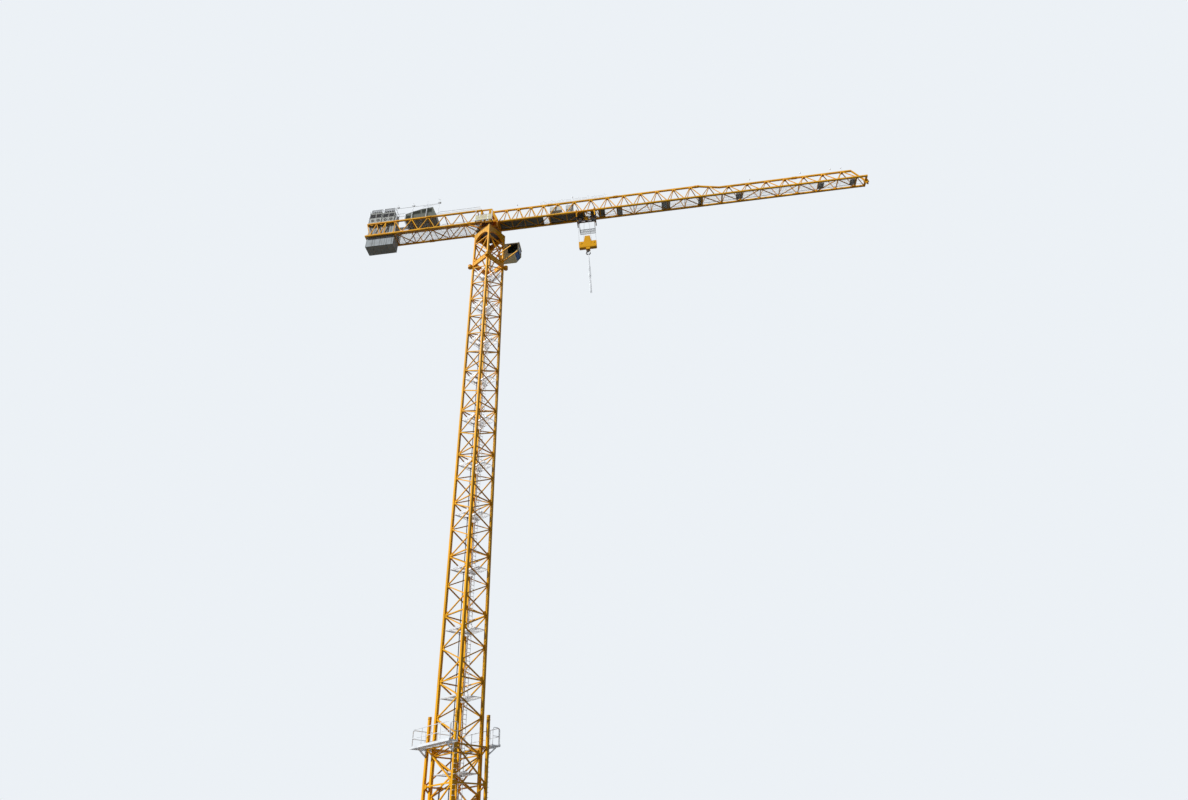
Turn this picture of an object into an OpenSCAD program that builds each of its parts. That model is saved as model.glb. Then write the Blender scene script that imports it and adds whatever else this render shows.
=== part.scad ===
// Flat-top tower crane at half its real size: a braced steel mast on a cross
// base, a climbing frame round its foot, a slewing upper part with a jib and a
// counter-jib, and a trolley that carries the hook.
// The origin is on the ground at the middle of the mast, and +X runs along the jib.

/* [Mast] */
// Outer width of the mast across two legs
mast_w = 1225; // [1100:5:1300]
// Side of a square leg
leg_w = 100; // [80:1:120]
// Height of one section
section_h = 2400; // [2000:10:2600]
// Number of sections, a multiple of three
section_count = 12; // [9:3:12]
// Thickness and width of a mast brace
brace_w = 42; // [30:1:60]
// Side of the joint block in the inner corner of a leg
joint_w = 70; // [50:1:90]
// Height of a joint block
joint_h = 260; // [160:5:360]
// Turn of the mast about the vertical, from the jib
mast_turn = 56.6; // [0:0.1:90]

/* [Base] */
// Height of the cross base under the first section
base_h = 150; // [110:5:220]
// Width of a cross beam
base_beam_w = 150; // [120:5:180]
// Side of a foot plate
foot_w = 340; // [300:5:400]
// Thickness of a foot plate
foot_t = 30; // [20:1:50]
// Diameter of an anchor bolt hole
anchor_d = 26; // [18:1:36]

/* [Ladder and landings] */
// Width of the ladder across its stiles
ladder_w = 200; // [160:5:260]
// Side of a ladder stile or rung
ladder_bar = 16; // [10:1:24]
// Step between two rungs
rung_step = 150; // [120:5:200]
// Drop of a landing below its section joint
landing_drop = 550; // [450:10:700]
// Thickness of a landing
landing_t = 24; // [16:1:40]
// Width of the hatch in a landing, beside the ladder
hatch_w = 420; // [400:5:440]
// Distance of the power cable from the mast's middle, along the landing's edge
cable_y = 300; // [200:5:400]
// Diameter of the power cable in the mast
power_cable_d = 36; // [20:1:50]

/* [Fixed head] */
// Height of the fixed head on the last section
head_h = 2740; // [2400:10:3000]
// Height of the lower band's middle above the last joint
band_z = 275; // [240:5:320]
// Depth of the lower band
band_h = 340; // [260:5:380]
// Depth of the crown girder at its middle
crown_h = 330; // [260:5:420]
// Depth that the arch adds to the crown girder at the posts
crown_arch = 330; // [200:5:420]
// Thickness of a head plate girder
head_plate_t = 60; // [40:1:80]
// Diameter of a climbing lug
lug_d = 224; // [200:2:240]
// Reach of the two feed rails from the head
rail_reach = 1075; // [600:5:1150]
// Height of a climbing lug
lug_h = 180; // [120:5:240]
// Height of the feed rails above the last joint
rail_z = 620; // [560:5:700]
// Outer diameter of the slewing ring
ring_d = 1180; // [1000:10:1200]
// Height of the fixed half of the slewing ring
ring_h = 110; // [80:5:140]
// Gap between the two halves of the slewing ring
ring_gap = 0.5; // [0.3:0.1:0.9]

/* [Climbing frame] */
// Distance of a cage post's axis from the mast's middle, along a side
cage_half = 718; // [700:1:760]
// Side of a cage post
post_w = 90; // [70:1:100]
// Height of the cage post's lower end above the ground
cage_foot = 650; // [500:10:900]
// Height of the cage post's upper end above the ground
cage_top = 6150; // [5800:10:6400]
// Height of the upper walkway
walk_z = 5270; // [5000:10:5400]
// Height of the lower walkway below the upper one
walk_drop = 2500; // [2200:10:2800]
// Half of a walkway's outer side
walk_half = 1150; // [1050:5:1250]
// Thickness of a walkway
walk_t = 45; // [30:1:60]
// Reach of a walkway past the cage on its open side
walk_over = 150; // [60:5:250]
// Depth of a walkway's bracket
walk_bracket = 260; // [150:5:350]
// Height of a handrail
rail_h = 550; // [450:5:600]
// Side of a handrail tube
rail_w = 20; // [14:1:30]
// Bend of a handrail at its upper corners
rail_bend = 90; // [50:1:120]
// Clearance between a guide roller and a leg
guide_gap = 0.5; // [0.3:0.1:0.8]

/* [Upper part] */
// Height of the chord axes above the turntable's underside
chord_rise = 615.5; // [580:0.5:700]
// Side of a main chord
chord_w = 90; // [70:1:100]
// Distance from the slewing axis to the jib's root
jib_root = 550; // [500:10:650]
// Distance from the slewing axis to the counter-jib's root
rear_root = 500; // [450:10:600]
// Height of the top chord's root pin above the bottom chords
apex_h = 1340; // [1340:5:1500]
// Distance of the apex from the slewing axis
apex_x = 75; // [0:5:150]
// Width of the platform beside the turntable
side_deck_w = 390; // [340:5:450]
// Drop of the platform beside the turntable below the chord axes
side_deck_drop = 300; // [200:5:400]
// Reach of the platform to the rear of the slewing axis
side_deck_rear = 700; // [600:5:900]
// Reach of that platform to the front of the slewing axis
side_deck_front = 290; // [200:5:500]
// Reach of the turntable's struts to the rear of the slewing axis
strut_reach = 1400; // [1200:10:1500]
// Height of the panels on the platform
panel_h = 500; // [450:5:650]

/* [Jib] */
// Half of the distance between the bottom chords
jib_half = 325; // [300:1:380]
// Height of the inner jib between chord axes
jib_h = 1340; // [1200:5:1370]
// Height of the outer jib between chord axes
jib_tip_h = 1020; // [900:5:1100]
// Distance of the step from the slewing axis
jib_step = 12250; // [11500:50:13000]
// Length of the sloping stretch at the step
step_len = 1150; // [900:10:1400]
// Distance of the jib's end from the slewing axis
jib_end = 21400; // [20500:50:21500]
// Length of the open end past the top chord
nose_len = 520; // [400:10:700]
// Side of a jib brace
jib_brace = 40; // [30:1:50]
// Length of the first jib section, which has short bays
root_len = 2950; // [2600:10:3300]
// Length of a bay in the first section
root_bay = 740; // [650:10:850]
// Length of an inner bay
inner_bay = 975; // [900:5:1100]
// Length of an outer bay
outer_bay = 1070; // [1000:10:1300]
// Half of the walkway's width on the inner jib
walk_inner = 190; // [120:5:220]
// Half of the walkway's width on the outer jib
walk_outer = 110; // [90:5:150]
// Distance of the trolley winch from the slewing axis
winch_x = 4300; // [4100:10:4350]
// Length of the trolley winch's frame
winch_l = 1200; // [1000:10:1250]
// Distance of the first handrail post on the top chord
top_rail_from = 2900; // [2500:10:3200]
// Length of the handrail on the top chord
top_rail_l = 4000; // [3000:100:5000]
// Height of the handrail on the top chord
top_rail_h = 260; // [200:5:320]
// Thickness of a walkway plate
plate_t = 12; // [8:1:20]

/* [Counter-jib] */
// Half of the distance between the counter-jib's chords
rear_half = 460; // [440:1:500]
// Height of the counter-jib between chord axes
rear_h = 1030; // [950:5:1100]
// Distance of the counter-jib's end from the slewing axis
rear_end = 7350; // [7200:10:7600]
// Length of a counter-jib bay
rear_bay = 990; // [900:5:1020]
// Length of the end bay, which holds the counterweight
end_bay = 1700; // [1650:5:1800]
// Number of counterweight slabs
slab_count = 4; // [3:1:4]
// Thickness of a slab along the jib
slab_t = 400; // [300:5:400]
// Width of a slab
slab_w = 680; // [600:5:720]
// Reach of a slab below the chord axes
slab_drop = 790; // [700:5:1100]
// Distance of the hoist housing's rear end from the slewing axis
hoist_x = 5100; // [5000:10:5200]
// Length of the hoist housing
hoist_len = 1850; // [1600:10:2000]
// Width of the hoist housing
hoist_w = 860; // [700:5:900]
// Height of the hoist housing
hoist_h = 890; // [700:5:950]
// Length of a cabinet along the jib
cabinet_l = 740; // [600:5:760]
// Width of a cabinet across the jib
cabinet_w = 880; // [700:5:900]
// Height of the rear cabinet
cabinet_h = 960; // [800:5:1000]
// Height of the railings between the hoist and the tower head
rear_rail_h = 320; // [250:5:400]
// Height of the two lamp posts on the counter-jib
lamp_h = 1450; // [1200:10:1600]

/* [Cab] */
// Length of the cab along the jib
cab_l = 980; // [900:10:1100]
// Width of the cab
cab_w = 700; // [650:5:800]
// Height of the cab
cab_h = 920; // [850:10:1000]
// Gap between the slewing axis and the cab's near side
cab_y = 900; // [880:5:1000]
// Distance of the cab's back from the slewing axis
cab_x = 520; // [500:5:600]
// Drop of the cab's roof below the chord axes
cab_drop = 555; // [540:5:620]
// Length of the step behind the cab's door
cab_step = 250; // [200:5:300]
// Thickness of the cab's walls
cab_t = 25; // [18:1:40]

/* [Trolley] */
// Distance of the trolley from the slewing axis
trolley_x = 5600; // [3000:10:18000]
// Length of the trolley
trolley_l = 1100; // [1000:10:1300]
// Diameter of a trolley wheel
wheel_d = 90; // [70:2:110]
// Width of a trolley wheel
wheel_w = 26; // [20:1:30]
// Running gap between a wheel and its chord
wheel_gap = 0.3; // [0.2:0.1:0.6]
// Diameter of a rope sheave
sheave_d = 228; // [180:2:250]
// Diameter of the hoist rope
rope_d = 12; // [8:1:16]
// Drop of the rope run below the chord axes
rope_drop = 180; // [150:5:220]
// Drop of the trolley's lower cross beams below the chord axes
beam_drop = 520; // [480:5:560]
// Drop of the fitter's basket below the chord axes
basket_drop = 760; // [700:5:800]
// Length of the fitter's basket
basket_l = 900; // [700:10:1000]
// Width of the fitter's basket
basket_w = 340; // [300:5:400]

/* [Hook block] */
// Drop of the block's head below the chord axes
block_drop = 1850; // [1700:10:2400]
// Height of the block's narrow head
block_head_h = 450; // [380:5:500]
// Width of the block's head at its base
block_head_w = 420; // [320:5:430]
// Width of the block's head at its top
block_head_top = 280; // [220:5:300]
// Width of the block's body
block_w = 985; // [900:5:1050]
// Height of the block's body
block_h = 490; // [440:5:520]
// Thickness of the block across the jib
block_t = 180; // [140:5:220]
// Width of the swivel housing under the block
swivel_w = 210; // [160:5:260]
// Height of the swivel housing
swivel_h = 150; // [100:5:200]
// Diameter of the hook's shank
shank_d = 70; // [50:1:90]
// Length of the chain sling
sling_len = 2620; // [2000:10:3000]

/* [Hidden] */
mast_top = base_h + section_count * section_h;
crown_top = mast_top + head_h;
cage_bays = 4;
ledger_w = 44;
guide_w = 50;
function ledger_z(i) = cage_foot + 60 + i * (walk_z - walk_t - ledger_w / 2 - cage_foot - 60) / cage_bays;
leg_at = (mast_w - leg_w) / 2;
clear_w = mast_w - 2 * leg_w;
ring_top = crown_top + ring_h;
deck_z = ring_top + ring_gap;
chord_z = deck_z + chord_rise;
ring_seat = 0.3;
jib_apex = 30;
top_end = jib_end - nose_len;
rear_top_z = chord_z + rear_h;
lacing_gap = 0.4;
plank_gap = 0.4;
walk_in = cage_half + post_w / 2;
planks = [[1, -walk_in - walk_over, walk_in - plank_gap], [2, -walk_half, walk_in - plank_gap],
    [3, -walk_half, walk_in + walk_over]];
bracket_t = 16;
hatch_end = 110;
landing_x = 20;
ladder_y = -362;
lug_at = mast_w / 2 + lug_d * 0.34;
anchor_pitch = foot_w - 80;
slab_gap = 12;
slab_inset = 80;
slab_end = -rear_end + slab_inset + slab_count * (slab_t + slab_gap);
rear_deck_z = chord_z + rear_h + chord_w / 2 + plate_t;
cabinet_gap = 40;
cab_z = chord_z - cab_drop - cab_h;
cab_arm = 80;
root_end = jib_root + root_len;
lamp_posts = [1540, 15200, 18100, 19800, 20400];
manhole_d = 600;
rope_gap = 0.5;
side_in = jib_half + chord_w / 2 + 14;
fall_x = 475;
sheave_t = 60;
plate_y = sheave_t / 2 + 10;
sheave_x = fall_x - (sheave_d + rope_d) / 2;
sheave_z = -rope_drop - (sheave_d + rope_d) / 2 - rope_gap;
block_sheave_drop = 150;
slot_half = sheave_d / 2 + 14;
swivel_gap = 0.5;
swivel_drop = block_drop + block_head_h + block_h + swivel_h;
hook_z = chord_z - swivel_drop - swivel_gap;
hook_eye = 250;
hook_r = 145;
hook_mouth = 75;
link_w = 30;
link_l = 300;
feed_rail_w = 44;
feed_rail_h = 60;
feed_rail_x = [75, leg_at + 25];
group_count = 3;
group_len = section_count / group_count;
fine = 48;
yellow = "#e8a21c";
dark_yellow = "#c77f16";
galvanised = "#a9adb0";
dark_steel = "#3f4144";
concrete = "#b9b6ae";

// A flat strut of width w between two points of a drawing plane.
module strut(a, b, w) {
    d = b - a;
    translate(a) rotate(atan2(d[1], d[0])) translate([0, -w / 2]) square([norm(d), w]);
}

// A square bar of side w between two points in space.
module bar(a, b, w) {
    d = b - a;
    translate(a) rotate([0, acos(d[2] / norm(d)), atan2(d[1], d[0])])
        translate([-w / 2, -w / 2, 0]) cube([w, w, norm(d)]);
}

// A box given by its two corners.
module block(a, b) {
    translate(a) cube(b - a);
}

// Repeats a child on the four sides of the mast.
module round_mast() {
    for (k = [0:3]) rotate(mast_turn + 90 * k) children();
}

// Repeats a child at the four corners of a square of half side r, in the mast's turn.
// The child's own -X and -Y point to the middle of the mast.
module at_corners(r) {
    rotate(mast_turn) for (x = [0, 1], y = [0, 1]) mirror([x, 0, 0]) mirror([0, y, 0])
        translate([r, r, 0]) children();
}

// Stands a drawing up as a wall of thickness t, centred on the distance y from the middle.
module wall(y, t) {
    translate([0, -y + t / 2, 0]) rotate([90, 0, 0]) linear_extrude(t) children();
}

// A zigzag between two chords: low and high are heights, and it starts at the low one.
module zigzag(x0, x1, low, high, bays, w) {
    step = (x1 - x0) / bays;
    for (i = [0:bays - 1]) {
        strut([x0 + i * step, low], [x0 + (i + 0.5) * step, high], w);
        strut([x0 + (i + 0.5) * step, high], [x0 + (i + 1) * step, low], w);
    }
}

// Two crossed beams under the legs. Each foot has three anchor holes, because the beam
// lies over its inner corner.
module base_cross() color(dark_yellow) {
    beam_z = base_h - foot_t;
    difference() {
        union() {
            rotate(mast_turn) for (k = [-45, 45]) rotate(k)
                translate([-leg_at * sqrt(2), -base_beam_w / 2, 0])
                    cube([2 * leg_at * sqrt(2), base_beam_w, beam_z]);
            at_corners(leg_at) translate([-foot_w / 2, -foot_w / 2, 0]) cube([foot_w, foot_w, foot_t]);
            at_corners(leg_at) translate([-leg_w, -leg_w, 0]) cube([2 * leg_w, 2 * leg_w, base_h]);
        }
        at_corners(leg_at) for (p = [[1, 1], [1, -1], [-1, 1]])
            translate([p[0] * anchor_pitch / 2, p[1] * anchor_pitch / 2, -1])
                cylinder(d = anchor_d, h = foot_t + 2, $fn = fine);
    }
}

// Legs with a joint block behind the lacing at each section joint. The outside stays
// flush, because the guides of the climbing frame run there.
module mast_legs() color(yellow) at_corners(leg_at) {
    translate([-leg_w / 2, -leg_w / 2, base_h]) cube([leg_w, leg_w, section_count * section_h]);
    inner = -brace_w / 2 - lacing_gap;
    for (i = [1:section_count - 1])
        translate([inner - joint_w, inner - joint_w, base_h + i * section_h - joint_h / 3])
            cube([joint_w, joint_w, joint_h]);
}

// Braces of one mast side over several sections. Sides next to each other start
// their zigzag on opposite legs, so that all bars of one leg meet at one height.
module mast_side(first, count, flip) {
    z0 = base_h + first * section_h;
    intersection() {
        translate([-clear_w / 2, z0]) square([clear_w, count * section_h]);
        mirror([flip, 0]) for (i = [0:4 * count - 1]) {
            z = z0 + i * section_h / 4;
            side = i % 2 == 0 ? 1 : -1;
            strut([side * leg_at, z], [-side * leg_at, z + section_h / 4], brace_w);
        }
    }
    for (i = [0:count - 1])
        translate([-clear_w / 2, z0 + i * section_h]) square([clear_w, brace_w]);
}

module mast_lacing(group) color(yellow) for (k = [0:3])
    rotate(mast_turn + 90 * k) wall(leg_at, brace_w) mast_side(group * group_len, group_len, k % 2);

module mast_lacing_low() mast_lacing(0);
module mast_lacing_mid() mast_lacing(1);
module mast_lacing_high() mast_lacing(2);

// The ladder stands against the free edge of the landings, which hold it.
module mast_ladder() color(galvanised) rotate(mast_turn) translate([landing_x - ladder_w, ladder_y, 0]) {
    top = mast_top + band_z;
    for (x = [0, ladder_w - ladder_bar]) translate([x, 0, base_h + 100])
        cube([ladder_bar, ladder_bar, top - base_h - 100]);
    for (z = [base_h + 200:rung_step:top - 60]) translate([0, 0, z]) cube([ladder_w, ladder_bar, ladder_bar]);
}

// One landing below each section joint, between the lacings of two sides. It has a hatch
// beside the ladder and a slot for the power cable.
module mast_landings() color(galvanised) rotate(mast_turn) for (i = [1:section_count])
    translate([0, 0, base_h + i * section_h - landing_drop]) difference() {
        side = leg_at - brace_w / 2;
        block([-side, -clear_w / 2, 0], [side, clear_w / 2, landing_t]);
        block([landing_x - hatch_w, -clear_w / 2 - 1, -1], [landing_x, hatch_end, landing_t + 1]);
        block([landing_x - power_cable_d - 10, hatch_end - 1, -1],
            [landing_x, cable_y + power_cable_d, landing_t + 1]);
    }

// The cable lies along the free edge of the landings, from above the base to the head.
module power_cable() color("#1d1d20") rotate(mast_turn)
    translate([landing_x - power_cable_d / 2 * cos(22.5), cable_y, base_h + 300]) rotate(22.5)
        cylinder(d = power_cable_d, h = mast_top - base_h - 300, $fn = 8);

// Posts of the head, each with the round lug that the climbing frame is hung from.
module head_posts() color(yellow) {
    at_corners(leg_at) translate([-leg_w / 2, -leg_w / 2, mast_top]) cube([leg_w, leg_w, head_h]);
    at_corners(lug_at) translate([0, 0, mast_top]) cylinder(d = lug_d, h = lug_h, $fn = 12);
}

// One side of the head: a deep lower band with haunches, two crossing braces and
// a crown girder whose lower edge is an arch.
module head_side_profile() {
    half = clear_w / 2;
    top = head_h;
    band_low = band_z - band_h / 2;
    band_high = band_z + band_h / 2;
    arch_r = (half * half + crown_arch * crown_arch) / (2 * crown_arch);
    haunch = 190;
    difference() {
        translate([-half, top - crown_h - crown_arch]) square([clear_w, crown_h + crown_arch]);
        translate([0, top - crown_h - arch_r]) circle(r = arch_r, $fn = 96);
    }
    translate([-half, band_low]) square([clear_w, band_h]);
    for (s = [0, 1]) mirror([s, 0]) polygon([[half, band_high], [half - haunch, band_high], [half, band_high + haunch]]);
    brace_top = top - crown_h - crown_arch + 40;
    intersection() {
        translate([-half, band_high - 10]) square([clear_w, brace_top - band_high + 10]);
        union() {
            strut([-leg_at, band_high - 30], [leg_at, brace_top - 260], brace_w);
            strut([leg_at, band_high + 160], [-leg_at, brace_top - 60], brace_w);
        }
    }
    translate([-half, brace_top - 250]) square([clear_w, brace_w]);
}

module head_sides() color(yellow) round_mast()
    translate([0, 0, mast_top]) wall(leg_at, head_plate_t) head_side_profile();

// Two level rails that stand out from one side of the head, on a tie between its posts.
module feed_rails() color(yellow) rotate(mast_turn) translate([0, 0, mast_top + rail_z]) {
    back = -leg_at - head_plate_t / 2;
    block([-clear_w / 2, -mast_w / 2, 0], [clear_w / 2, back, feed_rail_h]);
    for (x = feed_rail_x)
        block([x - feed_rail_w / 2, -mast_w / 2 - rail_reach, 0], [x + feed_rail_w / 2, -mast_w / 2, feed_rail_h]);
}

module slewing_ring() color(dark_steel) translate([0, 0, crown_top]) difference() {
    translate([0, 0, ring_seat]) cylinder(d = ring_d, h = ring_h - ring_seat, $fn = 72);
    translate([0, 0, -1]) cylinder(d = ring_d - 260, h = ring_h + 2, $fn = 72);
}

// Climbing frame

module cage_posts() color(yellow) at_corners(cage_half) {
    translate([-post_w / 2, -post_w / 2, cage_foot]) cube([post_w, post_w, cage_top - cage_foot]);
    translate([0, 0, cage_top]) cylinder(d = post_w + 40, h = 70, $fn = 12);
}

// One open side of the cage: ledgers with a brace in each bay.
module cage_side_profile() {
    half = cage_half - post_w / 2;
    for (i = [0:cage_bays]) translate([-half, ledger_z(i) - ledger_w / 2]) square([2 * half, ledger_w]);
    intersection() {
        translate([-half, ledger_z(0)]) square([2 * half, ledger_z(cage_bays) - ledger_z(0)]);
        for (i = [0:cage_bays - 1]) {
            side = i % 2 == 0 ? 1 : -1;
            strut([-side * cage_half, ledger_z(i)], [side * cage_half, ledger_z(i + 1)], brace_w);
        }
    }
}

module cage_sides() color(yellow) round_mast() wall(cage_half, ledger_w) cage_side_profile();

// Guides on the inner faces of two ledgers of each side, which run along the mast's legs.
module cage_guides() color(dark_steel) for (i = [1, cage_bays]) round_mast() for (x = [-1, 1]) {
    face = mast_w / 2 + guide_gap;
    z = ledger_z(i);
    block([x * leg_at - guide_w / 2, -cage_half + ledger_w / 2, z - ledger_w / 2],
        [x * leg_at + guide_w / 2, -face, z + ledger_w / 2]);
}

// Two walkways on three sides of the cage, with brackets at its posts. The fourth side is
// open, because new mast sections come in there.
module cage_walkways() color(galvanised) for (z = [walk_z, walk_z - walk_drop], p = planks)
    rotate(mast_turn + 90 * p[0]) {
        block([p[1], -walk_half, z - walk_t], [p[2], -walk_in, z]);
        for (x = [-1, 1]) translate([x * cage_half - bracket_t / 2, 0, z - walk_t]) rotate([90, 0, 90])
            linear_extrude(bracket_t) polygon([[-walk_in, 0], [40 - walk_half, 0], [-walk_in, -walk_bracket]]);
    }

// A rectangle whose two upper corners are round.
module round_top(w, h, r) {
    square([w, h - r]);
    translate([r, 0]) square([w - 2 * r, h]);
    for (x = [r, w - r]) translate([x, h - r]) circle(r = r, $fn = fine);
}

// A handrail panel: a tube bent round at its upper corners, a middle rail and inner posts.
module handrail(length, height, posts) {
    difference() {
        round_top(length, height, rail_bend);
        translate([rail_w, -1]) round_top(length - 2 * rail_w, height - rail_w + 1, rail_bend - rail_w);
    }
    translate([rail_w / 2, height / 2 - rail_w]) square([length - rail_w, rail_w]);
    for (i = [1:1:posts - 2])
        translate([i * (length - rail_w) / (posts - 1), 0]) square([rail_w, height - rail_w / 2]);
}

// Railings stand on the outer edge of each plank and across its end at the open side.
module cage_railings() color(galvanised) for (z = [walk_z, walk_z - walk_drop], p = planks)
    rotate(mast_turn + 90 * p[0]) {
        corner = walk_half - 80;
        from = p[0] == 1 ? p[1] + 10 : -corner;
        to = p[0] == 3 ? p[2] - 10 : corner;
        translate([from, 0, z]) wall(walk_half - rail_w, rail_w) handrail(to - from, rail_h, 5);
        if (p[0] != 2) translate([p[0] == 1 ? from : to - rail_w, 0, z]) rotate([90, 0, 90])
            linear_extrude(rail_w) translate([60 - walk_half, 0]) handrail(walk_half - walk_in - 80, rail_h, 2);
    }

// Hydraulic jack between two ledgers on the cage's back.
module climbing_jack() color(dark_steel) rotate(mast_turn + 180) {
    face = cage_half + ledger_w / 2;
    low = ledger_z(2);
    high = ledger_z(3);
    block([-110, -face - 120, low - 60], [110, -face, low + 60]);
    translate([0, -face - 60, low + 60]) cylinder(d = 90, h = (high - low) * 0.6, $fn = fine);
    translate([0, -face - 60, low + 60]) cylinder(d = 56, h = high - low - 60, $fn = fine);
    block([-80, -face - 110, high - 45], [80, -face, high + 45]);
}

// Slewing upper part

// A box on the slewing ring, open to both sides, with a strut to each counter-jib chord.
module turntable() color(dark_yellow) {
    plate = 60;
    box_top = chord_z - chord_w / 2;
    difference() {
        union() {
            translate([0, 0, deck_z]) cylinder(d = ring_d - 40, h = plate, $fn = 72);
            block([-rear_root, -rear_half, deck_z + plate], [jib_root, rear_half, box_top]);
        }
        block([-rear_root + 90, -rear_half - 1, deck_z + plate + 90], [jib_root - 90, rear_half + 1, box_top - 60]);
        translate([0, 0, deck_z - 1]) cylinder(d = manhole_d, h = plate + 92, $fn = fine);
    }
    translate([0, 0, chord_z]) intersection() {
        for (y = [-1, 1] * (rear_half - 30)) bar([-strut_reach, y, 28], [-rear_root + 60, y, -514], 60);
        block([-1600, -rear_half, -chord_rise], [-rear_root, rear_half, -chord_w / 2]);
    }
}

// Side frame of the tower head, as a closed outline with two openings.
module head_frame_profile() {
    w = chord_w;
    low = -chord_w / 2;
    top = rear_h + w / 2;
    outline = [[-rear_root, low], [jib_root, low], [jib_root, low + w], [apex_x + w, top], [-rear_root, top]];
    difference() {
        polygon(outline);
        polygon([[-rear_root + w, low + w], [apex_x - w, low + w], [apex_x - w, top - w], [-rear_root + w, top - w]]);
        polygon([[apex_x + w / 2, low + w], [jib_root - 1.6 * w, low + w], [apex_x + w / 2, top - 3 * w]]);
    }
}

module tower_head() color(yellow) {
    for (s = [-1, 1]) translate([0, s * (rear_half - 10) + 25, chord_z]) rotate([90, 0, 0])
        linear_extrude(50) head_frame_profile();
    inner = rear_half - 35;
    half = chord_w / 2;
    block([-rear_root, -inner, chord_z + rear_h - half], [-rear_root + chord_w, inner, chord_z + rear_h + half]);
    block([jib_root - chord_w, -inner, chord_z - half], [jib_root, inner, chord_z + half]);
    block([apex_x - half, -inner, chord_z + rear_h - half], [apex_x + chord_w, inner, chord_z + rear_h + half]);
    block([apex_x - half, -half, chord_z + rear_h], [apex_x + chord_w, half, chord_z + apex_h + half]);
    for (s = [-1, 1]) bar([apex_x + half / 2, s * (inner - half), chord_z + rear_h],
        [apex_x + half / 2, 0, chord_z + apex_h - half / 2], 60);
}

// Platform on the turntable's near side: a floor, a railing filled with sheet panels, and
// two taller posts.
module turntable_platform() color("#b9b5a6") translate([0, 0, chord_z - side_deck_drop]) {
    y0 = rear_half + side_deck_w;
    length = side_deck_front + side_deck_rear;
    block([-side_deck_rear, -y0, -30], [side_deck_front, -rear_half, 0]);
    translate([-side_deck_rear, 0, 0]) {
        wall(y0 - rail_w, rail_w) handrail(length, panel_h, 5);
        wall(y0 - rail_w, 6) for (i = [0:3])
            translate([rail_w + 10 + i * (length - rail_w) / 4, 20]) square([length / 4 - 60, panel_h - 70]);
        wall(y0 - rail_w, 6) translate([0, panel_h / 2]) square([length, 10]);
    }
    block([-side_deck_rear, -y0 + 60, 0], [-side_deck_rear + 30, -y0 + 90, 2 * panel_h]);
    block([side_deck_front - 60, -y0 + 60, 0], [side_deck_front, -y0 + 120, 1.7 * panel_h]);
}

// Axis of the jib's top chord at a distance x from the slewing axis.
function top_h(x) = x < jib_step ? jib_h
    : x > jib_step + step_len ? jib_tip_h
    : jib_h + (jib_tip_h - jib_h) * (x - jib_step) / step_len;

module jib_chords() color(yellow) translate([0, 0, chord_z]) {
    w = chord_w;
    for (s = [-1, 1]) translate([jib_root, s * jib_half - w / 2, -w / 2]) cube([jib_end - jib_root, w, w]);
    axis = [[apex_x + w, jib_h], [jib_step, jib_h], [jib_step + step_len, jib_tip_h], [top_end, jib_tip_h]];
    rotate([90, 0, 0]) linear_extrude(w, center = true)
        polygon([for (i = [0:3]) axis[i] - [0, w / 2], for (i = [3:-1:0]) axis[i] + [0, w / 2]]);
}

// One inclined side of the jib between two distances, with the zigzag in its own plane.
module jib_side(x0, x1, height, bays) {
    run = jib_half - jib_apex;
    slope = atan2(height, run);
    translate([0, -jib_half, 0]) rotate([slope, 0, 0]) linear_extrude(jib_brace, center = true)
        intersection() {
            zigzag(x0, x1, 0, norm([height, run]), bays, jib_brace);
            translate([x0, 0]) square([x1 - x0, norm([height, run])]);
        }
}

// The level bracing between two bottom chords whose axes lie at the distance axis from the middle.
module floor_lacing(x0, x1, bays, axis) {
    half = axis - chord_w / 2;
    step = (x1 - x0) / bays;
    translate([0, 0, -jib_brace / 2]) linear_extrude(jib_brace) {
        for (i = [0:bays]) translate([min(x0 + i * step, x1 - jib_brace), -half]) square([jib_brace, 2 * half]);
        intersection() {
            for (i = [0:bays - 1]) {
                s = i % 2 == 0 ? 1 : -1;
                strut([x0 + i * step, -s * axis], [x0 + (i + 1) * step, s * axis], jib_brace);
            }
            translate([x0, -half]) square([x1 - x0, 2 * half]);
        }
    }
}

module jib_lacing(x0, x1, height, bays) {
    for (s = [0, 1]) mirror([0, s, 0]) jib_side(x0, x1, height, bays);
    floor_lacing(x0, x1, bays, jib_half);
}

root_bays = round(root_len / root_bay);
inner_bays = round((jib_step - root_end) / inner_bay);
outer_bays = round((top_end - jib_step - step_len) / outer_bay);

module jib_inner_lacing() color(yellow) difference() {
    translate([0, 0, chord_z]) {
        jib_lacing(jib_root, root_end, jib_h, root_bays);
        jib_lacing(root_end, jib_step, jib_h, inner_bays);
    }
    jib_chords();
}

// The outer jib is lower. Two braces on each side close the sloping bay at the step.
module jib_outer_lacing() color(yellow) difference() {
    x1 = jib_step + step_len;
    mid = jib_step + step_len / 2;
    translate([0, 0, chord_z]) {
        jib_lacing(x1, top_end, jib_tip_h, outer_bays);
        floor_lacing(jib_step, x1, 1, jib_half);
        floor_lacing(top_end, jib_end, 1, jib_half);
        intersection() {
            for (s = [-1, 1], x = [jib_step, x1]) bar([x, s * jib_half, 0], [mid, s * jib_apex, top_h(mid)], jib_brace);
            block([jib_step, -2 * jib_half, 0], [x1, 2 * jib_half, 2 * jib_h]);
        }
    }
    jib_chords();
}

// The walkway between the bottom chords is wider on the inner jib.
module jib_walkway() color(dark_steel) translate([0, 0, chord_z + jib_brace / 2]) {
    block([jib_root, -walk_inner, 0], [jib_step, walk_inner, plate_t]);
    block([jib_step, -walk_outer, 0], [top_end, walk_outer, plate_t]);
}

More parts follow.
